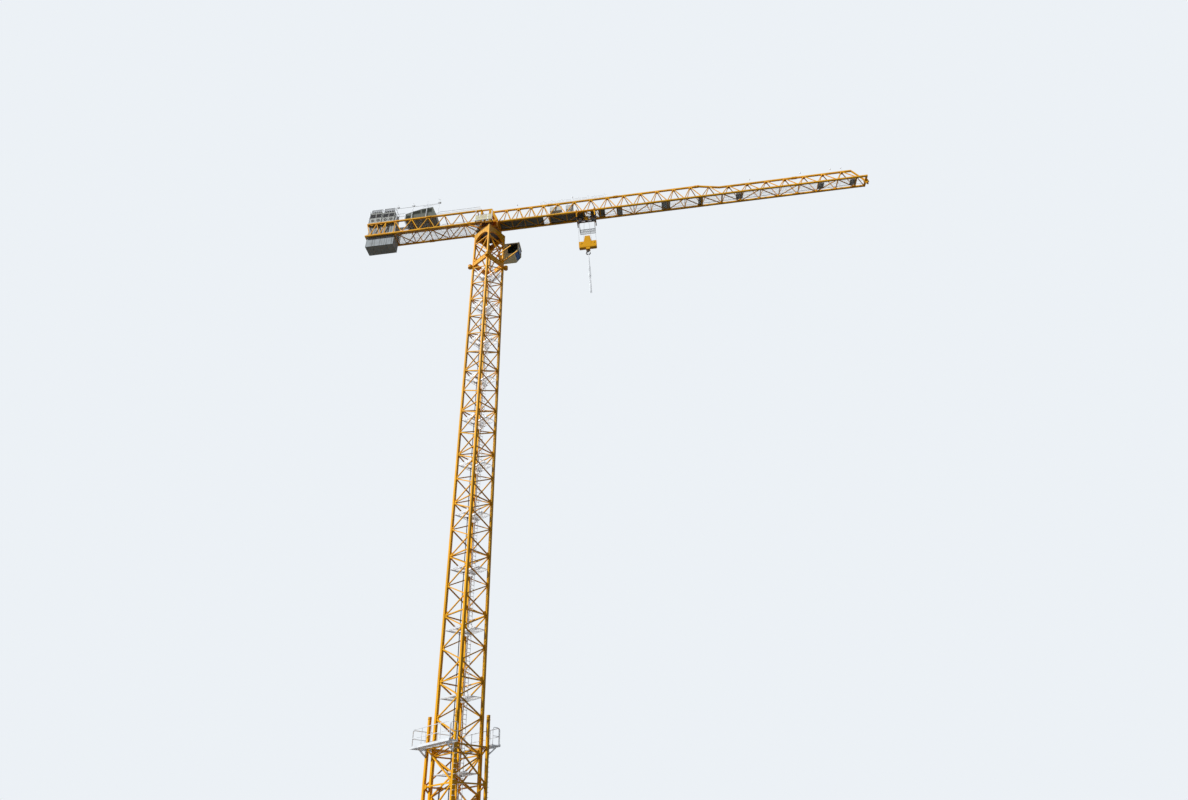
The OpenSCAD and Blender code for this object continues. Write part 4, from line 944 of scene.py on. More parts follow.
rung_z = np.arange(1.0, 5.1, 0.15)
rung_z = rung_z[np.abs(rung_z - WALK_LEVELS[1] + 0.03) > 0.08]
rung_y = -CAGE_HALF - POST_W / 2
rung = spread(-CAGE_HALF - 0.04, rung_y - 0.05, rung_z)
stub = np.concatenate([rung, rung + 0.08 * X])
rungs = joined(rods(rung - 0.004 * X, rung + 0.084 * X, 0.006, 8), rods(stub, stub + 0.052 * Y, 0.006, 8))
piece("cage_rungs", on_mast(rungs, (0, 1)), "galvanised_steel", "climbing_frame")

jack_y = -CAGE_HALF - LEDGER_HALF - 0.06
jack_low = LEDGERS[2] + 0.06
jack_high = LEDGERS[3]
gland = [(0.052, 0), (0.052, 0.05), (0.047, 0.055), (0.047, 0.12), (0.056, 0.125), (0.056, 0.16),
         (0.034, 0.165), (0.034, 0.19)]
glands = turned(gland, (0, jack_y, jack_low + 0.6 * (jack_high - jack_low - 0.06) - 0.12), UP, 32)
foot_ring = turned([(0.07, 0), (0.07, 0.02), (0.056, 0.03), (0.056, 0.07)], (0, jack_y, jack_low), UP, 32)
pins = rods([(-0.095, jack_y, jack_high), (-0.125, jack_y, LEDGERS[2])],
            [(0.095, jack_y, jack_high), (0.125, jack_y, LEDGERS[2])], 0.022, 20)
hose_t = np.linspace(0, 1, 25)
hose = spread(0.055 + 0.05 * np.sin(np.pi * hose_t), jack_y - 0.02, jack_low + 0.04 + 0.5 * hose_t)
hoses = tubes(np.stack([hose, hose * (-1, 1, 1)]), Y, 0.011, 10)
pump = joined(boxes((0.2, jack_y - 0.04, LEDGERS[2] + 0.024), (0.5, jack_y + 0.06, LEDGERS[2] + 0.26)),
              boxes((0.19, jack_y - 0.05, LEDGERS[2] + 0.26), (0.51, jack_y + 0.07, LEDGERS[2] + 0.275)),
              turned([(0.05, 0), (0.05, 0.13), (0.042, 0.14)], (0.28, jack_y + 0.01, LEDGERS[2] + 0.275), UP,
                     24))
piece("jack_fittings", on_mast(joined(glands, foot_ring, pins, hoses, pump), (2,)), "dark_steel",
      "climbing_frame")

# %% [markdown]
# The jib is a triangular truss. Its inclined braces meet the bottom chords in one plane
# and the top chord in another, and each meeting has a small gusset. The gussets lie in
# the braces' own slope, so that slope is worked out from the height first. A list of
# stretches holds start, end, height and number of bays, as the frame has them.

# %% Jib gussets
STRETCHES = [(JIB_ROOT, ROOT_END, JIB_H, 4), (ROOT_END, JIB_STEP, JIB_H, 9), (STEP_END, TOP_END, TIP_H, 7)]
APEX_HALF = 0.03


def side_nodes(x0, x1, height, bays):
    """Lower and upper nodes of one inclined side, and the direction up the slope."""
    step = (x1 - x0) / bays
    low_x = x0 + step * np.arange(bays + 1)
    high_x = x0 + step * (np.arange(bays) + 0.5)
    low = spread(low_x, -JIB_HALF, CHORD_Z)
    high = spread(high_x, -APEX_HALF, CHORD_Z + height)
    return low, high, unit(np.array([0, JIB_HALF - APEX_HALF, height]))


parts = []
for stretch in STRETCHES:
    low, high, slope = side_nodes(*stretch)
    parts.append(plates([(-0.13, 0.03), (0.13, 0.03), (0.055, 0.125), (-0.055, 0.125)], low, X, slope))
    parts.append(plates([(-0.05, -0.13), (0.05, -0.13), (0.12, -0.04), (-0.12, -0.04)], high, X, slope))
piece("jib_gussets", mirrored(joined(*parts)), "yellow_paint", "slewing_part")

# %% [markdown]
# The jib comes in sections that are pinned together. On the real one each chord ends in
# a fork and an eye. Here a joint is two cheek plates with two pins. The trolley's wheels
# run on top of the bottom chords and its frame passes close outside them, so those
# chords have their plates on the inside and underneath only.

# %% Jib section joints
joint_x = np.array([ROOT_END, ROOT_END + 4 * (JIB_STEP - ROOT_END) / 9, JIB_STEP - 0.12,
                    STEP_END + 4 * (TOP_END - STEP_END) / 7])
top_h = np.array([JIB_H, JIB_H, JIB_H, TIP_H])
cheek = [(-0.15, -0.038), (-0.12, -0.05), (0.12, -0.05), (0.15, -0.038), (0.15, 0.038), (0.12, 0.05),
         (-0.12, 0.05), (-0.15, 0.038)]
PIN_X = 0.075
PIN_L = 0.15
PIN_R = 0.022
CHEEK_OUT = (CHORD / 2 + PLATE_T / 2) * Y
inside = spread(joint_x, -JIB_HALF, CHORD_Z) + CHEEK_OUT
under = spread(joint_x, -JIB_HALF, CHORD_Z - CHORD / 2 - 0.005)
upper = spread(joint_x, 0, CHORD_Z + top_h)
pin_in = np.concatenate([inside - PIN_X * X, inside + PIN_X * X])
pin_top = np.concatenate([upper - (PIN_X, PIN_L / 2, 0), upper + (PIN_X, -PIN_L / 2, 0)])
low_joint = joined(plates(cheek, inside, X, UP),
                   boxes(under - (0.15, 0.036, 0.004), under + (0.15, 0.036, 0.005)),
                   rods(pin_in, pin_in + 0.03 * Y, 0.024, 16))
top_joint = joined(plates(cheek, upper - CHEEK_OUT, X, UP), plates(cheek, upper + CHEEK_OUT, X, UP),
                   rods(pin_top, pin_top + PIN_L * Y, PIN_R, 16))
piece("jib_joints", joined(mirrored(low_joint), top_joint), "yellow_paint", "slewing_part")

# %% [markdown]
# The walkway fills the width between the bottom chords at the root and narrows towards
# the tip. Most of it is grating that the sky shows through. From the root to the trolley
# it is covered with tread sheets, and beyond there only short sheets lie over it, at the
# section joints. Those sheets and the grating up to the trolley are dark, partly with grime
# and partly as painted shade. On the top chord a light handrail and a row of
# short lamp posts follow the fitter's path.

# %% Jib walkway and handrail
walk_top = CHORD_Z + 0.032
DARK_GRATING_END = 6.70
JIB_WALK = 0.27
TIP_WALK = 0.20
JIB_GRID = (0.012, 0.03, 0.06, 0.012)
# Painted shade, in part: the grating up to the trolley and all tread sheets take the dark grating finish.
dark_grating_run = grating(JIB_ROOT, -JIB_WALK, DARK_GRATING_END, JIB_WALK, *JIB_GRID)
clean = joined(grating(DARK_GRATING_END, -JIB_WALK, JIB_STEP, JIB_WALK, *JIB_GRID),
               grating(JIB_STEP, -TIP_WALK, TOP_END, TIP_WALK, *JIB_GRID))
piece("jib_walk_dark_grating", at_height(dark_grating_run, walk_top), "galvanised_steel", "slewing_part",
      look="grime_and_shade_grating")
piece("jib_walk_grating", at_height(clean, walk_top), "galvanised_steel", "slewing_part", ["jib_walkway"])
sheet_from = np.array([0.58, 3.49, 5.87, 6.33, 7.38, 9.96, 12.06, 14.19, 18.77, 20.55])
sheet_to = np.array([3.13, 5.55, 6.18, 6.69, 7.71, 10.46, 12.33, 14.59, 19.12, 20.86])
sheet_half = np.where(sheet_from < JIB_STEP, JIB_WALK, TIP_WALK)
sheet_low = spread(sheet_from, -sheet_half, walk_top)
sheet_high = spread(sheet_to, sheet_half, walk_top + 0.005)
curb = boxes(np.concatenate([sheet_low, sheet_low + 2 * sheet_half[:, None] * Y - 0.006 * Y]),
             np.concatenate([sheet_high - 2 * sheet_half[:, None] * Y + 0.006 * Y + 0.03 * UP,
                             sheet_high + 0.03 * UP]))
piece("jib_walk_sheets", joined(boxes(sheet_low, sheet_high), curb), "dark_steel", "slewing_part",
      look="grime_and_shade_grating")

rail_z = CHORD_Z + JIB_H + CHORD / 2
post_x = 2.91 + 0.5 * np.arange(9)
posts = spread(post_x, 0, rail_z)
extra_x = np.array([3.13, 3.62, 4.22, 5.22, 5.78, 6.16, 6.77])
stubs = spread(extra_x, 0, rail_z)
sensor = np.array([(4.86, 0, rail_z)])
POST_R = 0.013
POST_H = 0.25
LINE_R = 0.006
line_lift = np.array([POST_H, 0.13])[:, None] * UP
platform = [rods(posts, posts + POST_H * UP, POST_R, 8), rods(stubs, stubs + 0.36 * UP, POST_R, 8),
            turned([(0.014, 0.34), (0.022, 0.345), (0.022, 0.375), (0.01, 0.385)], stubs, UP, 12),
            rods(sensor, sensor + 0.40 * UP, 0.024, 12),
            turned([(0.02, 0.385), (0.036, 0.39), (0.036, 0.45), (0.014, 0.47)], sensor, UP, 16),
            rods(posts[0] + line_lift, posts[-1] + line_lift, LINE_R, 8),
            turned([(0.026, -0.006), (0.026, 0.006), (0.014, 0.012), (0.014, 0.03)], posts, UP, 12)]
lamp_x = np.array([1.55, 15.21, 18.11, 19.81, 20.41])
lamp_base = CHORD_Z + np.where(lamp_x < JIB_STEP, JIB_H, TIP_H) + CHORD / 2
lamp_posts = spread(lamp_x, 0, lamp_base)
platform.append(rods(lamp_posts, lamp_posts + 0.31 * UP, 0.010, 8))
lamp = [(0.012, 0.29), (0.03, 0.30), (0.034, 0.31), (0.034, 0.36), (0.026, 0.38), (0.008, 0.388)]
platform.append(turned(lamp, lamp_posts, UP, 16))
piece("jib_handrail", joined(*platform), "galvanised_steel", "slewing_part", ["jib_platform"])

# %% [markdown]
# The trolley winch is a drum with rope on it. A coil could be one long helix, but side
# by side turns read the same from any distance and need no end pieces, so the rope is
# a row of rings. One line runs from the drum to a pulley at the jib's nose.

# %% Trolley winch and its rope
circle_t = round_angles(32)


def rope_turns(centre, radius, y_from, y_to, rope=0.006):
    """Rings of rope side by side round an axis along Y."""
    across_y = np.arange(y_from + rope, y_to, 2 * rope)
    rings = np.zeros((len(across_y), len(circle_t), 3))
    rings[:, :, 0] = centre[0] + radius * np.cos(circle_t)
    rings[:, :, 1] = centre[1] + across_y[:, None]
    rings[:, :, 2] = centre[2] + radius * np.sin(circle_t)
    return tubes(rings, Y, rope, 6, closed=True)


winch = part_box("trolley_winch")
WINCH_Z = winch[0].z
WINCH_X = (winch[0].x + winch[1].x) / 2
DRUM_R = 0.126
DRUM_HALF = 0.1
LINE_Y = 0.085
drum = np.array([WINCH_X - 0.1, 0, WINCH_Z + 0.06 + 0.15 + 0.02])
NOSE_PULLEY = np.array([JIB_END - 0.03, LINE_Y, CHORD_Z + 0.12])
line = rods(drum + (0, LINE_Y, -DRUM_R), NOSE_PULLEY + 0.056 * UP, 0.005, 6)
piece("trolley_rope", joined(rope_turns(drum, DRUM_R, -DRUM_HALF, DRUM_HALF), line), "rope_steel",
      "slewing_part")

groove = both_ways([(0.02, -0.022), (0.066, -0.02), (0.068, -0.016), (0.052, -0.004)])
pulley = turned(groove, NOSE_PULLEY, Y, 32)
axle = rods(NOSE_PULLEY - 0.1 * Y, NOSE_PULLEY + 0.035 * Y, 0.014, 16)
hub_at = drum + 0.139 * np.array([-Y, Y])
hubs = turned([(0.07, 0), (0.07, 0.012), (0.035, 0.014), (0.035, 0.03), (0.03, 0.034)], hub_at, [-Y, Y], 24)
spoke = round_angles(6)
hub_bolt = np.array([(0.053 * np.cos(a), 0, 0.053 * np.sin(a)) for a in spoke])
hub_bolts = joined(bolts(hub_at[0] - 0.012 * Y + hub_bolt, -Y, 0.008),
                   bolts(hub_at[1] + 0.012 * Y + hub_bolt, Y, 0.008))
motor_x = WINCH_X + 0.15
vents = np.linspace(WINCH_Z + 0.12, WINCH_Z + 0.36, 9)
slat = np.concatenate([spread(motor_x + 0.03, y, vents) for y in (-0.127, 0.119)])
lid = boxes((motor_x - 0.01, -0.13, WINCH_Z + 0.42), (WINCH_X + 0.57, 0.13, WINCH_Z + 0.435))
hood = prisms([(x0, 0, CHORD_Z + 0.86) for x0 in (3.52, 4.46)],
              [(x1, 0, CHORD_Z + 0.86) for x1 in (4.20, 4.88)],
              [(-0.10, -0.21), (0.10, -0.21), (0.085, 0.13), (0.045, 0.21), (-0.045, 0.21), (-0.085, 0.13)])
hood_seam = np.array([(x, 0, CHORD_Z + 0.65) for x in (3.52, 3.74, 3.98, 4.20, 4.46, 4.67, 4.88)])
ribs = prisms(hood_seam - 0.006 * X, hood_seam + 0.006 * X,
              [(-0.106, -0.006), (0.106, -0.006), (0.091, 0.345), (0.048, 0.427), (-0.048, 0.427),
               (-0.091, 0.345)])
hanger = np.array([(x, 0, CHORD_Z + 1.06) for x in (3.62, 4.10, 4.54, 4.80)])
piece("jib_control_boxes", joined(hood, ribs, rods(hanger, hanger + 0.29 * UP, 0.012, 8)), "cabinet_paint",
      "slewing_part")
piece("winch_fittings", joined(pulley, axle, hubs, hub_bolts, boxes(slat, slat + (0.34, 0.008, 0.012)), lid),
      "galvanised_steel", "slewing_part")

# %% [markdown]
# The counter-jib's two sides are upright, so their gussets lie flat against them. Regular
# bays run from the tower head to the counterweight, and two close V shapes carry the
# slabs behind.

# %% Counter-jib gussets and joints
BALLAST_L = 1.7
BAY_END = -REAR_END + BALLAST_L
REAR_BAYS = 5
top_x = BAY_END + REAR_BAY * np.arange(REAR_BAYS + 1)
low_x = BAY_END + REAR_BAY * (np.arange(REAR_BAYS) + 0.5)
fan = BALLAST_L / 3
top_x = np.concatenate([top_x, -REAR_END + fan * (np.arange(2) + 0.5)])
low_x = np.concatenate([low_x, -REAR_END + fan * np.arange(1, 3), [BAY_END]])
high = spread(top_x, -REAR_HALF, CHORD_Z + REAR_H - CHORD / 2)
low = spread(low_x, -REAR_HALF, CHORD_Z + CHORD / 2)
gusset = [(-0.13, 0), (0.13, 0), (0.055, 0.085), (-0.055, 0.085)]
side_gussets = joined(plates(gusset, low, X, UP), plates(gusset, high, -X, -UP))
rear_joint = np.array([(-3.62, -REAR_HALF, CHORD_Z + z) for z in (0, REAR_H)])
pin = np.concatenate([rear_joint - (PIN_X, PIN_L / 2, 0), rear_joint + (PIN_X, -PIN_L / 2, 0)])
cheeks = joined(plates(cheek, rear_joint - CHEEK_OUT, X, UP), plates(cheek, rear_joint + CHEEK_OUT, X, UP),
                rods(pin, pin + PIN_L * Y, PIN_R, 16))
root_x = [CHORD / 2 - REAR_ROOT, CHORD / 2 - REAR_ROOT, JIB_ROOT - CHORD / 2]
root_pin = spread(root_x, -REAR_HALF - 0.06, [CHORD_Z, CHORD_Z + REAR_H, CHORD_Z])
root_pins = rods(root_pin, root_pin + 0.12 * Y, 0.03, 20)
piece("rear_gussets", mirrored(joined(side_gussets, cheeks, root_pins)), "yellow_paint", "slewing_part")

# %% [markdown]
# On top, cross beams carry gratings under the cabinets and the hoist, and a walkway runs
# below, dark partly with grime and partly as painted shade. Beams are painted and gratings
# are galvanised, so the one deck of the frame becomes three pieces.

# %% Counter-jib decks
beam_x = np.concatenate([[-REAR_END], BAY_END - 0.04 + REAR_BAY * np.arange(REAR_BAYS + 1)])
beam = spread(beam_x, -REAR_HALF + CHORD / 2, CHORD_Z + REAR_H - 0.02)
flanges = joined(boxes(beam, beam + (0.04, 2 * REAR_HALF - CHORD, 0.008)),
                 boxes(beam + (0, 0, 0.057), beam + (0.04, 2 * REAR_HALF - CHORD, 0.065)),
                 boxes(beam + (0.016, 0, 0.006), beam + (0.024, 2 * REAR_HALF - CHORD, 0.06)))
piece("rear_deck_beams", flanges, "yellow_paint", "slewing_part")

deck_top = CHORD_Z + REAR_H + CHORD / 2 + 0.012
DECK_HALF = 0.48
DECK_GRID = (0.012, 0.04, 0.06, 0.02)
HOIST_DECK = (-5.16, -3.19)
REAR_WALK = 0.36
REAR_WALK_FROM = -5.62
REAR_WALK_GRID = (0.012, 0.028, 0.06, 0.012)
decks = joined(grating(-REAR_END, -DECK_HALF, BAY_END - 0.06, DECK_HALF, *DECK_GRID),
               grating(HOIST_DECK[0], -DECK_HALF, HOIST_DECK[1], DECK_HALF, *DECK_GRID))
piece("rear_deck_gratings", at_height(decks, deck_top), "galvanised_steel", "slewing_part", ["rear_deck"])
# Painted shade, in part: the walkway under the hoist takes the dark grating finish.
rear_walk = grating(REAR_WALK_FROM, -REAR_WALK, -REAR_ROOT, REAR_WALK, *REAR_WALK_GRID)
piece("rear_walk_grating", at_height(rear_walk, walk_top), "galvanised_steel", "slewing_part",
      look="grime_and_shade_grating")

# %% [markdown]
# The railings between the hoist and the tower head use the same bent tube as those of
# the climbing frame. Four tall posts stand along the hoist with a taut line between
# them. Three carry a floodlight, and one of those also a wind gauge, whose cups are half
# shells turned about their own axes.

# %% Counter-jib railings and lamp posts
rail_z = CHORD_Z + REAR_H + CHORD / 2
REAR_RAIL_AT = -3.17
LAMP_Y = -0.49
LINE_STOP_X = -5.12
rail_from = REAR_RAIL_AT + 0.01
rail_to = -REAR_ROOT - 0.01
rear_rail = railing((rail_from, -REAR_HALF, rail_z), X, rail_to - rail_from, 0.31, 0.09, 4)
mast_x = np.array([BAY_END + 0.015, REAR_RAIL_AT + 0.06 + 0.015, -4.69, -3.82])
lamp_foot = spread(mast_x, LAMP_Y, rail_z)
line_z = np.array([0.30, 0.55, 1.07])
line_end = spread([LINE_STOP_X, LINE_STOP_X, mast_x[1]], LAMP_Y, rail_z + line_z)
stop_foot = line_end[0] * (1, 1, 0) + rail_z * UP
line = joined(rods(lamp_foot[0] + line_z[:, None] * UP, line_end, 0.012, 8),
              rods(stop_foot, stop_foot + 0.56 * UP, POST_R, 10))
end_foot = np.array([(-REAR_END + 0.02, side * 0.47, rail_z) for side in (-1, 1)])
end_rail = joined(rods(end_foot, end_foot + 1.12 * UP, POST_R, 10),
                  rods([end_foot[0] + z * UP for z in (0.56, 1.1)],
                       [end_foot[1] + z * UP for z in (0.56, 1.1)], 0.012, 8))
tall = [mirrored(rear_rail), line, end_rail, rods(lamp_foot, lamp_foot + 1.4 * UP, 0.014, 10),
        boxes(lamp_foot + (-0.03, -0.015, 0), lamp_foot + (0.03, 0.045, 0.012)),
        boxes(lamp_foot + (-0.015, 0.01, 0.3), lamp_foot + (0.015, 0.03, 0.31))]
head = lamp_foot[:3] + 1.22 * UP
tall += [boxes(head + (-0.075, -0.014, -0.05), head + (0.075, 0.07, 0.05)),
         boxes(head + (-0.085, 0.068, -0.06), head + (0.085, 0.08, 0.06))]
hub = lamp_foot[1] + 1.4 * UP
arm = round_angles(3)
tip = hub + 0.055 * spread(np.cos(arm), np.sin(arm), 0) + 0.03 * UP
tangent = spread(-np.sin(arm), np.cos(arm), 0)
tall += [rods(np.repeat((hub + 0.03 * UP)[None], 3, axis=0), tip, 0.003, 6),
         turned([(0.002, -0.018), (0.012, -0.014), (0.018, -0.004), (0.019, 0.004), (0.016, 0.004)],
                tip, tangent, 12),
         turned([(0.012, -0.01), (0.012, 0.03), (0.006, 0.04)], hub, UP, 12)]
piece("rear_tube_railings", joined(*tall), "galvanised_steel", "slewing_part", ["rear_railings"])

# %% [markdown]
# The hoist's housing is sheet metal on a frame. What makes it look real are its seams,
# the louvres of its cooling openings, door handles, lifting eyes and a row of bolts
# along the base. They stand a few millimetres proud of the frame's solid.


# %% Hoist details
def louvres(low, high, out, count, depth=0.014):
    """Slanted slats in an upright field between two corners, facing along the direction out."""
    low, high, out = (np.asarray(value, float) for value in (low, high, out))
    span = high - low
    level = np.array([span[0], span[1], 0])
    start = low + (np.arange(count) + 0.5)[:, None] / count * span[2] * UP
    pitch = span[2] / count
    section = np.array([[-0.5, -0.2], [0.5, -0.2], [0.5, 0.2], [-0.5, 0.2]]) * (pitch * 0.9, depth)
    tilt = unit(out - 0.7 * UP)
    slats = prisms(start + out * depth * 0.3, start + level + out * depth * 0.3, section, tilt)
    trim = 0.012
    along = unit(level)
    rim_from = np.array([low, low + span[2] * UP, low, low + level])
    rim_to = np.array([low + level, high, low + span[2] * UP, high])
    rim = bars(rim_from, rim_to, trim, depth, np.cross(UP, along) * 0.3 + along * 0.01 + UP * 0.001)
    return joined(slats, rim)


def seams(lows, highs, proud=0.003):
    """Thin cover strips over sheet joints, as boxes grown by a few millimetres."""
    return boxes(np.atleast_2d(lows) - proud, np.atleast_2d(highs) + proud)


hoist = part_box("hoist_unit")
HX, HW, HL, HH = hoist[0].x, (hoist[1].y - hoist[0].y) / 2, hoist[1].x - hoist[0].x, hoist[1].z - hoist[0].z


def on_hoist(x, y, share):
    """A point of the housing: x from its rear end, y from the middle and a share of its height."""
    return np.array([HX + x, y, REAR_DECK + share * HH])


parts = []
for x, high in ((0.02, 0.58), (0.36, 0.80), (0.92, 0.92), (1.26, 0.95), (1.60, 0.985)):
    parts.append(seams(on_hoist(x, -HW, 0.02), on_hoist(x + 0.02, HW, high - 0.02)))
parts.append(seams((HX, -HW, REAR_DECK + 0.004), (HX + HL, HW, REAR_DECK + 0.05), 0.006))
parts.append(seams(on_hoist(0.02, -HW, 0.44), on_hoist(HL * 0.93, HW, 0.46)))
for side in (-1, 1):
    y = side * (HW + 0.004)
    for x0, x1, z0, z1 in ((0.44, 0.88, 0.50, 0.78), (0.98, 1.22, 0.52, 0.86), (1.32, 1.56, 0.52, 0.86),
                           (0.08, 0.32, 0.1, 0.38)):
        parts.append(louvres(on_hoist(x0, y, z0), on_hoist(x1, y, z1), side * Y, 8))
foot_x = HX + np.linspace(0.06, HL - 0.06, 9)
foot_bolt = np.concatenate([spread(foot_x, side * (HW + 0.006), REAR_DECK + 0.028)
                            for side in (-1, 1)])
parts.append(bolts(foot_bolt, np.repeat([-Y, Y], 9, axis=0), 0.009))
handle = np.array([on_hoist(x, side * (HW + 0.014), 0.24) for x in (0.58, 1.12, 1.44) for side in (-1, 1)])
parts.append(rods(handle - 0.04 * UP, handle + 0.04 * UP, 0.006, 8))
piece("hoist_panels", joined(*parts), "housing_paint", "slewing_part")

roof_line = np.array([(0, 0.6), (0.5 * HL, 0.93), (0.88 * HL, 1.0), (HL, 0.3)]) * (1, HH)
roof = spread(HX + roof_line[:, 0], -HW, REAR_DECK + roof_line[:, 1] + 0.004)
trim = mirrored(bars(roof[:-1], roof[1:], 0.022, 0.02, Y))
cross_trim = bars(roof, roof * (1, -1, 1), 0.02, 0.02)
stand = np.array([on_hoist(x, side * (HW - 0.05), 0.92) for x in (1.0, 1.3, 1.6) for side in (-1, 1)])
stand_top = stand * (1, 1, 0) + (REAR_DECK + HH + 0.22) * UP
roof_rail = joined(rods(stand, stand_top, 0.009, 8), rods(stand_top[:2], stand_top[4:], 0.009, 8))
piece("hoist_trim", joined(trim, cross_trim, roof_rail), "galvanised_steel", "slewing_part")

drum_at = np.array([HX + HL - 0.10, 0, REAR_DECK + 0.13])
rope_row = rope_turns(drum_at, 0.105, -0.3, 0.3, 0.007)
flange = turned(both_ways([(0.04, -0.008), (0.124, -0.008), (0.128, 0)]),
                [drum_at - 0.312 * Y, drum_at + 0.312 * Y], Y, 40)
eye_t = round_angles(16)
eye = spread(0.028 * np.cos(eye_t), 0, 0.026 + 0.028 * np.sin(eye_t))
eye_at = np.array([on_hoist(HL * 0.86, side * HW * 0.8, 0.985) for side in (-1, 1)])
lift = tubes(eye[None] + eye_at[:, None], Y, 0.007, 8, closed=True)
piece("hoist_drum", joined(rope_row, flange, lift), "rope_steel", "slewing_part")

# %% [markdown]
# The switch cabinets are doors, louvres and fans, with upright ribs that throw narrow
# shadows. On their roofs stand the brake resistors, fat coils in open frames of dark
# slats. Dark and pale parts alternate here, so the details are three pieces with three
# finishes. Cable ducts join the cabinets to the hoist.

# %% Cabinet details
RESISTOR_TOP = REAR_DECK + 1.30
parts, dark, frames = [], [], []
cabinets = [(-REAR_END + 0.04, 0.74, 0.44, 0.0, 0.96), (-REAR_END + 0.82, 0.74, 0.352, -0.088, 0.8832)]
for x0, length, half, centre, height in cabinets:
    top = REAR_DECK + height - 0.025
    for side in (-1, 1):
        y = centre + side * half
        rib_x = x0 + np.linspace(0.02, length - 0.02, 8)
        rib = spread(rib_x, y, 0)
        parts.append(boxes(rib + (-0.008, -0.009, REAR_DECK + 0.04), rib + (0.008, 0.009, top - 0.02)))
        for level in (0.03, 0.5, 0.93):
            z = REAR_DECK + level * (height - 0.03)
            parts.append(boxes((x0 + 0.01, y - 0.006, z), (x0 + length - 0.01, y + 0.006, z + 0.022)))
        for near, far in ((0.05, 0.34), (0.40, 0.69)):
            low = np.array([x0 + near, y, REAR_DECK + 0.55 * height])
            high = np.array([x0 + far, y, REAR_DECK + 0.88 * height])
            dark.append(boxes(low - (0, 0.004, 0), high + (0, 0.004, 0)))
            dark.append(louvres(low + side * 0.006 * Y, high + side * 0.006 * Y, side * Y, 7))
            fan_at = np.array([((near + far) / 2 + x0, y, REAR_DECK + 0.30 * height)])
            dark.append(turned([(0.10, 0), (0.10, 0.012), (0.088, 0.016), (0.088, 0.008), (0.02, 0.008),
                                (0.018, 0.016)],
                               fan_at, side * Y, 24))
            spoke = np.pi * np.arange(4) / 4
            arm = 0.094 * spread(np.cos(spoke), 0, np.sin(spoke))
            parts.append(rods(fan_at + 0.017 * side * Y - arm, fan_at + 0.017 * side * Y + arm, 0.004, 6))
            ring_t = round_angles(20)
            ring = spread(np.cos(ring_t), 0, np.sin(ring_t))
            rings = np.stack([fan_at + 0.016 * side * Y + size * ring for size in (0.04, 0.068, 0.098)])
            parts.append(tubes(rings, Y, 0.004, 6, closed=True))
        grip = np.array([(x0 + 0.37, y + side * 0.018, REAR_DECK + 0.3 * height)])
        parts.append(rods(grip - 0.04 * UP, grip + 0.04 * UP, 0.006, 8))
    for x in (x0, x0 + length):
        parts.append(boxes((x - 0.005, centre - half + 0.03, REAR_DECK + 0.05),
                           (x + 0.005, centre - 0.01, top - 0.03)))
        parts.append(boxes((x - 0.005, centre + 0.01, REAR_DECK + 0.05),
                           (x + 0.005, centre + half - 0.03, top - 0.03)))
    low = np.array([x0 + 0.04, centre - half + 0.03, REAR_DECK + height])
    high = np.array([x0 + length - 0.04, centre + half - 0.03, RESISTOR_TOP])
    corner = np.array([(x, y, low[2] - 0.01) for x in (low[0], high[0]) for y in (low[1], high[1])])
    frames.append(bars(corner, corner * (1, 1, 0) + RESISTOR_TOP * UP, 0.022, 0.022))
    edge_from, edge_to = corner[[0, 1, 0, 2]], corner[[2, 3, 1, 3]]
    for z in (low[2] + 0.012, RESISTOR_TOP - 0.008):
        frames.append(bars(edge_from * (1, 1, 0) + z * UP, edge_to * (1, 1, 0) + z * UP, 0.02, 0.016))
    slat_z = np.arange(low[2] + 0.045, RESISTOR_TOP - 0.02, 0.042)
    for y, tilt in ((low[1], -1), (high[1], 1)):
        start = spread(low[0], y, slat_z)
        dark.append(bars(start, start + (high[0] - low[0]) * X, 0.03, 0.005,
                         unit(np.array([0, tilt * 0.7, 1.0]))))
    coil_x = np.linspace(low[0] + 0.08, high[0] - 0.08, 5)
    coil = spread(coil_x, low[1] + 0.05, (low[2] + RESISTOR_TOP) / 2)
    dark.append(rods(coil, coil + (high[1] - low[1] - 0.1) * Y, 0.045, 16))
piece("cabinet_doors", joined(*parts), "cabinet_paint", "slewing_part")
piece("resistor_frames", joined(*frames), "galvanised_steel", "slewing_part")
piece("louvres_and_resistors", joined(*dark), "dark_steel", "slewing_part")
duct = boxes([(BAY_END - 0.14, 0.1, REAR_DECK), (BAY_END - 0.14, 0.2, REAR_DECK)],
             [(HX + 0.02, 0.16, REAR_DECK + 0.05), (HX + 0.02, 0.26, REAR_DECK + 0.05)])
piece("cable_ducts", duct, "galvanised_steel", "slewing_part")

# %% [markdown]
# The ballast slabs are cast concrete. Each has two loops of round bar on top for
# lifting, and a steel shoe on both shoulders where it lies on the chords.

# %% Slab fittings
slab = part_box("counterweight")
SLAB_L = 0.4
slab_x = -REAR_END + 0.08 + (SLAB_L + SLAB_GAP) * np.arange(SLABS)
loop_t = np.linspace(0, np.pi, 13)
loop = spread(SLAB_L / 2 + 0.05 * np.cos(loop_t), 0, 0.05 * np.sin(loop_t))
loop_at = np.array([(x, y, slab[1].z - 0.008) for x in slab_x for y in (-0.2, 0.2)])
loops = tubes(loop[None] + loop_at[:, None], Y, 0.008, 8)
shoe = np.array([(x, y, CHORD_Z + CHORD / 2 + 0.118) for x in slab_x for y in (-0.43, 0.36)])
shoes = boxes(shoe + (0.02, 0, 0), shoe + (SLAB_L - 0.02, 0.07, 0.008))
piece("slab_loops", joined(loops, shoes), "dark_steel", "slewing_part")

# %% [markdown]
# The platform beside the turntable has a grating floor and a railing filled with sheet
# panels. The frame holds it as one pale solid, and here it is split by material: dark
# floor, galvanised tubes and pale ribbed sheets.

